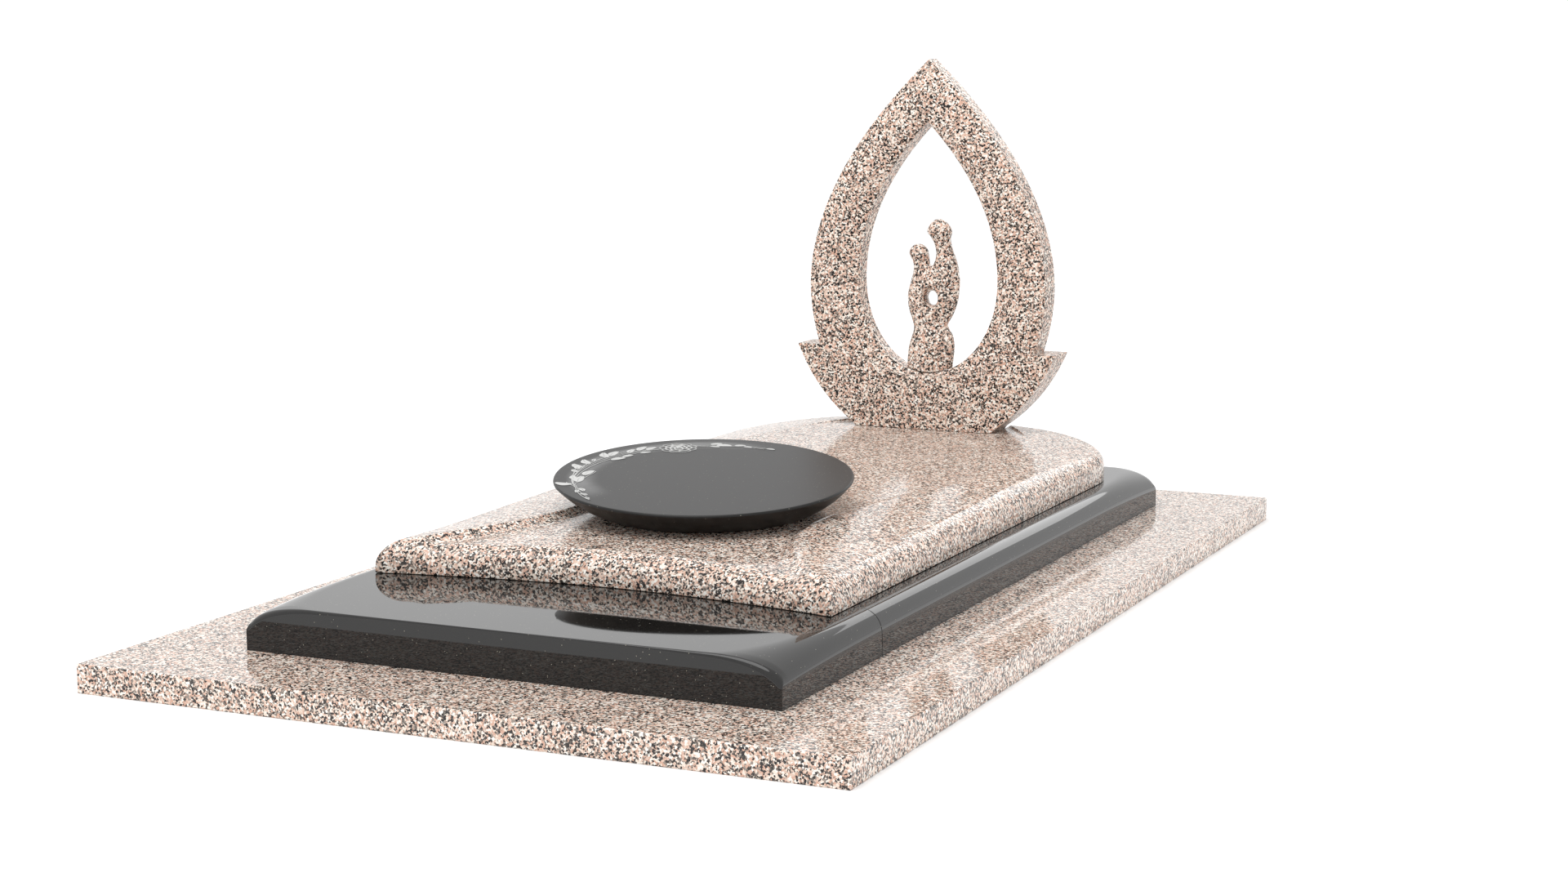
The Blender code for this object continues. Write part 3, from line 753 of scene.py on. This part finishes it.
def front_arc():
    """Radius and centre Y of the front edge, hollowed in a circular arc between its two corners."""
    radius = (COVER_HALF ** 2 + FRONT_HOLLOW ** 2) / (2 * FRONT_HOLLOW)
    return radius, COVER_FRONT + FRONT_HOLLOW - radius


def front_curve(x, inset):
    radius, centre = front_arc()
    return centre + sqrt((radius + inset) ** 2 - x * x)


def front_outward(x, y):
    """Step from the inner line of the rounded front edge to the edge, per unit of its width."""
    radius, centre = front_arc()
    if abs(x) > COVER_HALF - EDGE_WIDTH - 1e-6:
        corner = COVER_HALF if x > 0 else -COVER_HALF
        return ((corner - x) / EDGE_WIDTH, (COVER_FRONT - y) / EDGE_WIDTH)
    reach = radius + EDGE_WIDTH
    return (-x / reach, (centre - y) / reach)


def cover_columns(y, half):
    """X of one row's points: rounded wings, the two steps of the path and its floor."""
    crest = min(path_crest(y), half * 0.97)
    step = path_step(y)
    right = spread(0.0, crest - step, PATH_FLOOR_STEPS)
    right += [crest - step * (1 - share) for share in spread(0.0, 1.0, PATH_STEP_STEPS)[1:]]
    right += [crest + (half - crest) * sin(turn) for turn in spread(0.0, pi / 2, WING_STEPS)[1:]]
    return [-x for x in reversed(right[1:])] + right


def cover_sides():
    """Half width, Y and outward direction of each row's end, from the front to the back edge."""
    start = front_curve(COVER_HALF - EDGE_WIDTH, EDGE_WIDTH)
    corner_y = COVER_BACK - BACK_RADIUS
    inner_radius = BACK_RADIUS - BACK_EDGE_WIDTH
    sides = [(COVER_HALF - edge_width(y), y, (1.0, 0.0)) for y in spread(start, corner_y, COVER_ROWS)]
    for turn in spread(0.0, pi / 2, CORNER_ROWS)[1:]:
        normal = (cos(turn), sin(turn))
        half = COVER_HALF - BACK_RADIUS + inner_radius * normal[0]
        sides.append((half, corner_y + inner_radius * normal[1], normal))
    return sides


def cover_grid(sides):
    """Rows of plan points, bowed with the hollow front edge and straight further back."""
    start = sides[0][1]
    grid = []
    for half, side_y, normal in sides:
        row = []
        bow = 1 - ramp(side_y, start, start + BOW_REACH * COVER_LENGTH)
        crest = path_crest(side_y)
        for x in cover_columns(side_y, half):
            y = side_y + bow * (front_curve(x, EDGE_WIDTH) - front_curve(half, EDGE_WIDTH))
            if abs(x) <= crest:
                x = x * path_crest(y) / crest
            else:
                u = (abs(x) - crest) / (half - crest)
                wide = path_crest(y) + u * (half - path_crest(y))
                x = wide if x > 0 else -wide
            row.append((x, y))
        grid.append(row)
    return grid


def cover_shape(shape):
    sides = cover_sides()
    grid = cover_grid(sides)
    verts = [[shape.verts.new((x, y, cover_top(x, y))) for x, y in row] for row in grid]
    for low, high in zip(verts, verts[1:]):
        for i in range(len(low) - 1):
            shape.faces.new((low[i], low[i + 1], high[i + 1], high[i]))
    columns = len(grid[0])
    last = len(sides) - 1
    rim = [(verts[0][i], front_outward(*grid[0][i])) for i in range(columns)]
    rim += [(verts[j][-1], sides[j][2]) for j in range(1, last + 1)]
    rim += [(verts[last][i], (0.0, 1.0)) for i in range(columns - 2, 0, -1)]
    rim += [(verts[j][0], (-sides[j][2][0], sides[j][2][1])) for j in range(last, 0, -1)]
    steps = [(angle, 0.0) for angle in spread(0.0, pi / 2, EDGE_STEPS)[1:]]
    steps += [(pi / 2, LOWER_ARRIS), (pi / 2, -LOWER_ARRIS)]
    previous = [vert for vert, normal in rim]
    for angle, lower in steps:
        ring = []
        for vert, normal in rim:
            x, y, z = vert.co
            away = edge_width(y) * sin(angle)
            level = z - edge_height(y) * (1 - cos(angle))
            if lower > 0:
                level = COVER_FOOT + lower
            if lower < 0:
                level = COVER_FOOT
                away = away + lower
            ring.append(shape.verts.new((x + normal[0] * away, y + normal[1] * away, level)))
        for i in range(len(ring)):
            k = (i + 1) % len(ring)
            shape.faces.new((previous[i], previous[k], ring[k], ring[i]))
        previous = ring
    shape.faces.new(list(reversed(previous)))


def make_cover():
    stone = pink_granite("pink_granite_cover", (0.13, 0.71, 0.40), roughness=0.12, ior=1.42)
    cover = new_piece("carved_cover_slab", cover_shape, stone, 50.0)
    even_shading(cover)
    hand_over(cover, "cover_slab")


# Disc

def disc_place():
    lean_back = Matrix.Rotation(radians(DISC_TILT_BACK), 4, "X")
    lean_aside = Matrix.Rotation(radians(DISC_TILT_SIDE), 4, "Y")
    height = path_floor(DISC_X, DISC_Y) + DISC_HEIGHT
    return Matrix.Translation((DISC_X, DISC_Y, height)) @ lean_back @ lean_aside


def disc_shape(shape):
    place = disc_place()
    half_rim = DISC_RIM / 2
    angles = [2 * pi * i / DISC_SIDES for i in range(DISC_SIDES)]

    def point(angle, radius, level):
        return place @ Vector((radius * cos(angle), radius * sin(angle), level))

    def belly(angle, share):
        sunk = 1 - (1 - share) ** DISC_BELLY_POWER
        low = point(angle, DISC_RADIUS * (1 - share), -half_rim - DISC_BELLY * sunk)
        return low + Vector((0.0, DISC_BELLY_SETBACK * sunk, 0.0))

    contact = []
    for angle in angles:
        low, high = 0.0, 1.0
        for _ in range(SEAT_HALVINGS):
            middle = (low + high) / 2
            here = belly(angle, middle)
            if here.z > path_floor(here.x, here.y) + SEAT_GAP:
                low = middle
            else:
                high = middle
        contact.append(low)
    rings = [[point(a, DISC_RADIUS * share, 0.0) for a in angles] for share in (0.2, 0.6, 0.97)]
    for turn in spread(0.0, pi / 2, 8)[1:]:
        radius = DISC_RADIUS * (0.985 + 0.015 * sin(turn))
        rings.append([point(a, radius, -half_rim * (1 - cos(turn))) for a in angles])
    for k in range(1, BELLY_RINGS + 1):
        rings.append([belly(a, end * (k / BELLY_RINGS) ** 1.3) for a, end in zip(angles, contact)])
    skin(shape, rings)


def make_disc():
    disc = new_piece("polished_disc", disc_shape, disc_granite())
    even_shading(disc)
    hand_over(disc, "disc")


class Growth(Recipe):
    """A Geometry Nodes tree that turns a piece's plain points into carving."""

    def __init__(self, name):
        self.tree = bpy.data.node_groups.new(name, "GeometryNodeTree")
        for way in ("INPUT", "OUTPUT"):
            self.tree.interface.new_socket("Geometry", in_out=way, socket_type="NodeSocketGeometry")

    def start(self, named_inputs):
        """The input node's sockets: the points, then each named input in turn."""
        self.identifiers = {}
        for name, kind in named_inputs.items():
            socket = self.tree.interface.new_socket(name, in_out="INPUT", socket_type=kind)
            self.identifiers[name] = socket.identifier
        entry = self.tree.nodes.new("NodeGroupInput")
        return [Socket(self, entry.outputs[name]) for name in ("Geometry", *named_inputs)]

    def measure(self, name):
        kind = {"data_type": "FLOAT"}
        return self.node("GeometryNodeInputNamedAttribute", kind, {"Name": name}, "Attribute")

    def finish(self, geometry, material):
        whole = self.node("GeometryNodeRealizeInstances", {}, {"Geometry": geometry})
        dressed = self.node("GeometryNodeSetMaterial", {}, {"Geometry": whole, "Material": material})
        end = self.tree.nodes.new("NodeGroupOutput")
        self.tree.links.new(dressed.output, end.inputs["Geometry"])

    def grow(self, piece, values):
        step = piece.modifiers.new(self.tree.name, "NODES")
        step.node_group = self.tree
        for name, value in values.items():
            step[self.identifiers[name]] = value
        bake(piece)


def polar(angle, reach):
    return Vector((reach * cos(radians(angle)), reach * sin(radians(angle)), 0.0))


def note_measure(mesh, measure, values):
    mesh.attributes.new(measure, "FLOAT", "POINT").data.foreach_set("value", values)


def points_piece(name, points, edges, measures):
    """A mesh of bare points, with one value a point for each named measure."""
    mesh = bpy.data.meshes.new(name)
    mesh.from_pydata(points, edges, [])
    for measure, values in measures.items():
        note_measure(mesh, measure, values)
    return link_object(name, mesh)


def make_stems(material):
    growth = Growth("stems_along_the_rim")
    points, thickness = growth.start({"Thickness": "NodeSocketFloat"})
    girth = growth.measure("girth")
    line = growth.node("GeometryNodeMeshToCurve", {}, {"Mesh": points})
    line = growth.node("GeometryNodeSetCurveRadius", {}, {"Curve": line, "Radius": girth})
    inputs = {"Resolution": STEM_SIDES, "Radius": thickness}
    section = growth.node("GeometryNodeCurvePrimitiveCircle", {}, inputs)
    inputs = {"Curve": line, "Profile Curve": section, "Fill Caps": True}
    growth.finish(growth.node("GeometryNodeCurveToMesh", {}, inputs), material)
    points, edges, girths = [], [], []
    for rows in STEMS:
        low, high = rows[0][0], rows[-1][0]
        for k, angle in enumerate(spread(low, high, STEM_STEPS)):
            if k:
                edges.append((len(points) - 1, len(points)))
            points.append(polar(angle, curve(rows, angle)))
            girths.append(0.45 + 0.55 * sin(pi * (0.12 + 0.8 * k / STEM_STEPS)))
    stems = points_piece("spray_stems", points, edges, {"girth": girths})
    growth.grow(stems, {"Thickness": STEM_THICKNESS})
    return stems


def leaf_shape(shape):
    """A pointed leaf of unit length along +X, with a groove for its vein."""
    rings = []
    for share in spread(0.0, 1.0, LEAF_STEPS):
        half = 0.25 * sin(pi * share) ** 0.75 * (1.25 - 0.5 * share) + 0.004
        swell = min(half / 0.12, 1.0)
        bend = 0.10 * sin(pi * share)
        rings.append([(share, bend + half * across, level * swell) for across, level in LEAF_SECTION])
    skin(shape, rings)


def make_leaves(material):
    leaf = new_piece("leaf", leaf_shape, material, 60.0)
    growth = Growth("leaves_on_the_stems")
    points, model = growth.start({"Leaf": "NodeSocketObject"})
    size = growth.measure("size")
    turn = growth.measure("turn")
    spin = growth.node("ShaderNodeCombineXYZ", {}, {"Z": turn})
    form = growth.node("GeometryNodeObjectInfo", {}, {"Object": model, "As Instance": True}, "Geometry")
    inputs = {"Points": points, "Instance": form, "Rotation": spin, "Scale": size}
    growth.finish(growth.node("GeometryNodeInstanceOnPoints", {}, inputs), material)
    places = [polar(angle, reach) for angle, reach, lean, length in LEAVES]
    turns = [radians(angle - 90 + lean) for angle, reach, lean, length in LEAVES]
    sizes = [LEAF_SCALE * length for angle, reach, lean, length in LEAVES]
    leaves = points_piece("spray_leaves", places, [], {"turn": turns, "size": sizes})
    growth.grow(leaves, {"Leaf": leaf})
    bpy.data.objects.remove(leaf, do_unlink=True)
    return leaves


def rose_height(x, y):
    """Height of the rose's overlapping petals over the disc; outside them it dips below the face."""
    height = ROSE_DIP
    for count, out, wide, level, twist in PETALS:
        for k in range(count):
            turn = 2 * pi * (k + twist) / count
            u = (x * cos(turn) + y * sin(turn)) / ROSE_RADIUS - out
            v = (y * cos(turn) - x * sin(turn)) / ROSE_RADIUS
            away = (u / wide) ** 2 + (v / (PETAL_STRETCH * wide)) ** 2
            if away < 1:
                edge = min((1 - away) / PETAL_EDGE, 1.0) ** 0.5
                height = RELIEF_HEIGHT * (0.12 + level * away ** 1.5) * edge
    return height


def rose_shape(shape):
    rows = []
    for share in spread(0.004, 1.06, ROSE_RINGS):
        row = []
        for k in range(ROSE_SIDES):
            turn = 2 * pi * k / ROSE_SIDES
            x = ROSE_RADIUS * share * cos(turn)
            y = ROSE_RADIUS * share * sin(turn)
            row.append(polar(*ROSE_PLACE) + Vector((x, y, rose_height(x, y))))
        rows.append(row)
    under = [point - Vector((0.0, 0.0, ROSE_UNDER)) for point in rows[-1]]
    skin(shape, rows + [under])


def make_spray():
    silver_with_painted_shade = blasted_relief_with_painted_shade()
    stems = make_stems(silver_with_painted_shade)
    leaves = make_leaves(silver_with_painted_shade)
    rose = new_piece("spray_rose", rose_shape, silver_with_painted_shade, 70.0)
    for piece in (stems, leaves, rose):
        # Each point's height above the disc, which the relief's material turns into painted shade in its
        # grooves
        note_measure(piece.data, "height", [vert.co.z for vert in piece.data.vertices])
        piece.data.transform(disc_place())
        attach(piece, "root")


# Upright stone

def stele_base():
    return path_floor(0.0, STELE_Y)


def ring_outer(z):
    """Outer half width of the ring at a height above the stone's seat."""
    middle = STELE_HEIGHT * RING_WIDEST
    reach = STELE_HEIGHT - middle
    return STELE_WIDTH / 2 * (1 - (abs(z - middle) / reach) ** RING_OUTER_POWER)


def ring_stations():
    """Pairs of outer and inner points round the whole ring, from the apex down the +X limb."""
    top = STELE_HEIGHT - OPENING_TOP
    middle = OPENING_MIDDLE
    knee_z = LIMB_KNEE * middle
    half = OPENING_WIDTH / 2
    pairs = []
    for i in range(UPPER_STEPS):
        share = i / UPPER_STEPS
        inner_z = top - (top - middle) * share
        inner_x = half * (1 - ((inner_z - middle) / (top - middle)) ** RING_INNER_POWER)
        outer_z = STELE_HEIGHT - (STELE_HEIGHT - knee_z) * share
        pairs.append(((ring_outer(outer_z), outer_z), (inner_x, inner_z)))
    turn_z = 0.45 * OPENING_FLOOR + 0.02
    for i in range(LOWER_STEPS + 1):
        angle = pi / 2 * i / LOWER_STEPS
        inner_x = half * cos(angle)
        inner_z = middle - (middle - OPENING_FLOOR) * sin(angle)
        if i <= KNEE_STEPS:
            outer_z = knee_z - (knee_z - turn_z) * i / KNEE_STEPS
            outer_x = ring_outer(outer_z)
        else:
            outer_z = turn_z
            outer_x = ring_outer(turn_z) * (LOWER_STEPS - i) / (LOWER_STEPS - KNEE_STEPS)
        pairs.append(((outer_x, outer_z), (inner_x, inner_z)))
    mirrored = [((-o[0], o[1]), (-n[0], n[1])) for o, n in reversed(pairs[1:-1])]
    return pairs + mirrored


def ring_depth(share, z):
    """Half depth of the ring's section, from its outer wall (0) to its inner wall (1)."""
    rise = ramp(z, OPENING_MIDDLE, STELE_HEIGHT)
    outer = RING_OUTER_DEPTH + (RING_APEX_DEPTH - RING_OUTER_DEPTH) * rise
    inner = RING_INNER_DEPTH + (RING_INNER_TOP_DEPTH - RING_INNER_DEPTH) * rise
    return (outer + (inner - outer) * share) / 2 + RING_BULGE * sin(pi * share) ** RING_BULGE_POWER


def ring_shape(shape):
    base = stele_base()
    shares = [0.0, 0.012, 0.03, 0.06] + spread(0.12, 0.88, 12) + [0.95, 0.975, 0.99, 1.0]
    rows = []
    for outer, inner in ring_stations():
        wide = sqrt((outer[0] - inner[0]) ** 2 + (outer[1] - inner[1]) ** 2)
        half_row = []
        for share in shares:
            from_edge = min(share, 1 - share) * wide
            near = min(from_edge / RING_ARRIS, 1.0)
            x = outer[0] + (inner[0] - outer[0]) * share
            z = outer[1] + (inner[1] - outer[1]) * share
            half_row.append((x, ring_depth(share, z) - RING_ARRIS * (1 - sqrt(1 - (1 - near) ** 2)), z))
        points = [(x, STELE_Y - depth, base + z) for x, depth, z in half_row]
        points += [(x, STELE_Y + depth, base + z) for x, depth, z in reversed(half_row)]
        rows.append(points)
    skin(shape, rows, looped=True)


def cup_top(x):
    """Height of the boat's upper edge above the seat."""
    low = OPENING_FLOOR - CUP_DIP
    share = abs(x) / (HORN_SPAN / 2)
    return low + (HORN_HEIGHT - low) * ramp(share, *CUP_RISE)


def cup_bottom(x):
    """Height of the boat's rounded underside above the seat, outside the flat foot."""
    start = Vector((FOOT_WIDTH / 2, FOOT_EDGE))
    tip = Vector((HORN_SPAN / 2, HORN_HEIGHT - CUP_ARRIS))
    chord = tip - start
    normal = Vector((-chord.y, chord.x)).normalized()
    centre = (start + tip) / 2 + normal * sqrt(HORN_ARC ** 2 - chord.length_squared / 4)
    reach = min(abs(x) - centre.x, HORN_ARC)
    return centre.y - sqrt(HORN_ARC ** 2 - reach ** 2)


def cup_shape(shape):
    base = stele_base()
    half_foot = FOOT_WIDTH / 2
    tip = HORN_SPAN / 2
    flat = spread(0.0, half_foot, FOOT_STEPS)
    turns = spread(0.0, 0.985 * pi / 2, HORN_STEPS)[1:]
    right = flat + [half_foot + (tip - half_foot) * sin(turn) for turn in turns]
    stations = [-x for x in reversed(right[1:])] + right
    rings = []
    for x in stations:
        bow = FOOT_BOW * (x / tip) ** 2
        front = STELE_Y - FOOT_DEPTH / 2 + bow
        back = STELE_Y + FOOT_DEPTH / 2 - bow * 0.4
        top = base + cup_top(x)
        if abs(x) <= half_foot + 1e-6:
            low_front = cover_top(x, front) + SEAT_GAP
            low_back = cover_top(x, back) + SEAT_GAP
        else:
            low_front = low_back = max(base + cup_bottom(x), cover_top(x, STELE_Y) + SEAT_GAP)
        arris = min(CUP_ARRIS, 0.35 * (top - max(low_front, low_back)))
        small = 0.4 * arris
        turn = [(arris * (1 - cos(a)), arris * (1 - sin(a))) for a in spread(0.0, pi / 2, 4)]
        ring = [(x, front + small, low_front), (x, back - small, low_back), (x, back, low_back + small)]
        ring += [(x, back - away, top - fall) for away, fall in turn]
        ring += [(x, front + away, top - fall) for away, fall in reversed(turn)]
        ring.append((x, front, low_front + small))
        rings.append(ring)
    skin(shape, rings)


def make_stele():
    stone = pink_granite("pink_granite_stele", (0.52, 0.23, 0.86), roughness=0.28, ior=1.28)
    stele = new_piece("carved_stele", ring_shape, stone, 40.0)
    cup = new_piece("stele_foot", cup_shape, stone, 40.0)
    join_with(stele, cup, "UNION")
    even_shading(stele)
    hand_over(stele, "stele")


# Pair of figures

# Outlines as rows of (share of the height, left X, right X)
BODY = (
    (0.0, -0.0535, 0.0520), (0.08, -0.0540, 0.0548), (0.165, -0.0510, 0.0574), (0.245, -0.0425, 0.0530),
    (0.285, -0.0393, 0.0440), (0.31, -0.0405, 0.0410), (0.365, -0.0475, 0.0516), (0.42, -0.0530, 0.0600),
    (0.47, -0.0547, 0.0650), (0.52, -0.0538, 0.0671), (0.59, -0.0470, 0.0690), (0.64, -0.0430, 0.0670),
    (0.69, -0.0400, 0.0615),
)
TALL = (
    (0.58, -0.004, 0.064), (0.67, 0.004, 0.0652), (0.75, 0.0125, 0.0574), (0.81, 0.0110, 0.0497),
    (0.87, 0.0020, 0.0455), (0.91, -0.0085, 0.0486), (0.945, -0.0050, 0.0440), (0.975, 0.0025, 0.0355),
    (0.992, 0.0100, 0.0260),
)
SMALL = (
    (0.57, -0.0420, 0.006), (0.64, -0.0415, 0.0), (0.685, -0.0405, -0.0030), (0.72, -0.0435, -0.0040),
    (0.765, -0.0512, -0.0068), (0.79, -0.0500, -0.0085), (0.815, -0.0440, -0.0150),
    (0.828, -0.0380, -0.0220),
)


def figure_floor(x):
    """Height of the ring's opening under the figures."""
    across = min(abs(x) / (OPENING_WIDTH / 2), 0.9)
    drop = (OPENING_MIDDLE - OPENING_FLOOR) * sqrt(1 - across * across)
    return stele_base() + OPENING_MIDDLE - drop + SEAT_GAP


def form_shape(rows, count, around, full_depth, on_floor):
    base = stele_base() + OPENING_FLOOR + SEAT_GAP
    left = [(share, low) for share, low, high in rows]
    right = [(share, high) for share, low, high in rows]

    def make(shape):
        rings = []
        for share in spread(rows[0][0], rows[-1][0], count):
            x_low = curve(left, share)
            x_high = curve(right, share)
            middle = (x_low + x_high) / 2
            half = (x_high - x_low) / 2
            depth = FIGURE_DEPTH / 2 * full_depth(share, half)
            ring = []
            for i in range(around):
                angle = 2 * pi * (i + 0.5) / around
                x = middle + half * cos(angle)
                z = base + share * FIGURE_HEIGHT
                if on_floor:
                    z = max(z, figure_floor(x)) if share > rows[0][0] else figure_floor(x)
                ring.append((x, STELE_Y + depth * sin(angle), z))
            rings.append(ring)
        skin(shape, rings)

    return make


def body_depth(share, half):
    waist = 1 - 0.16 * ramp(share, 0.12, 0.30) * (1 - ramp(share, 0.33, 0.48))
    return waist * (1 - 0.35 * ramp(share, 0.6, 0.69))


def head_depth(share, half):
    return min(half / (FIGURE_DEPTH / 2) * 0.95, 1.0)


def eye_shape(shape):
    """Hourglass shaped cutter for the round opening between the two figures."""
    z_middle = stele_base() + OPENING_FLOOR + EYE_PLACE * FIGURE_HEIGHT
    turns = [2 * pi * i / 40 for i in range(40)]
    rings = []
    for share in spread(-1.0, 1.0, 20):
        radius = EYE_RADIUS * (1 + EYE_FLARE * abs(share) ** EYE_FLARE_POWER)
        y = STELE_Y + share * EYE_REACH * FIGURE_DEPTH
        tall = EYE_STRETCH * radius
        rings.append([(EYE_X + radius * cos(a), y, z_middle + tall * sin(a)) for a in turns])
    skin(shape, rings)


def make_figure():
    stone = pink_granite("pink_granite_figure", (0.27, 0.94, 0.15), roughness=0.20, ior=1.35)
    figure = new_piece("carved_figure", form_shape(BODY, 60, 40, body_depth, True), stone)
    tall = new_piece("tall_form", form_shape(TALL, 36, 32, head_depth, False), stone)
    small = new_piece("small_form", form_shape(SMALL, 28, 28, head_depth, False), stone)
    eye = new_piece("eye_form", eye_shape, stone)
    join_with(figure, tall, "UNION")
    join_with(figure, small, "UNION")
    join_with(figure, eye, "DIFFERENCE")
    grain = figure.modifiers.new("one_skin", "REMESH")
    grain.mode = "VOXEL"
    grain.voxel_size = FIGURE_GRAIN
    grain.use_smooth_shade = True
    polish = figure.modifiers.new("polish", "SMOOTH")
    polish.factor = 0.5
    polish.iterations = 7
    bake(figure)
    figure.data.materials.clear()
    figure.data.materials.append(stone)
    hand_over(figure, "figure")


# Base slab

def make_base_slab():
    stone = pink_granite("pink_granite_slab", (0.05, 0.33, 0.62), roughness=0.05, ior=1.5)
    slab = nodes["base_slab"]
    slab.data.materials.clear()
    slab.data.materials.append(stone)


# Studio

def floor_shape(shape):
    bmesh.ops.create_grid(shape, x_segments=2, y_segments=2, size=FLOOR_REACH)


def make_lamp(name, outline, width, depth, power, place):
    """An area lamp that faces the grave; a round one has no depth of its own."""
    light = bpy.data.lights.new(name, "AREA")
    light.shape = outline
    light.size = width
    light.size_y = depth
    light.energy = power
    lamp = link_object(name, light)
    lamp.location = place
    lamp.rotation_euler = (LAMP_AIM - lamp.location).to_track_quat("-Z", "Y").to_euler()


def make_studio():
    world = bpy.data.worlds.new("white_surround")
    bpy.context.scene.world = world
    world.use_nodes = True
    surround = world.node_tree.nodes["Background"]
    surround.inputs["Color"].default_value = (1.0, 1.0, 1.0, 1.0)
    surround.inputs["Strength"].default_value = WORLD_STRENGTH
    floor = new_piece("studio_floor", floor_shape, floor_paint())
    make_lamp("soft_box", "RECTANGLE", 3.0, 1.5, 20.0, (0.2, 6.5, 2.95))
    make_lamp("broad_overhead", "DISK", 4.5, 4.5, 135.0, (-0.5, -1.7, 5.2))


def make_camera():
    lens = bpy.data.cameras.new("view")
    lens.lens = LENS
    lens.sensor_width = SENSOR_WIDTH
    camera = link_object("view", lens)
    camera.location = CAMERA_PLACE
    camera.rotation_euler = (pi / 2 - CAMERA_DIP, 0.0, CAMERA_TURN)
    bpy.context.scene.camera = camera
    bpy.context.scene.view_settings.view_transform = "Standard"


make_camera()
make_studio()
make_base_slab()
make_plinth()
make_cover()
make_disc()
make_spray()
make_stele()
make_figure()
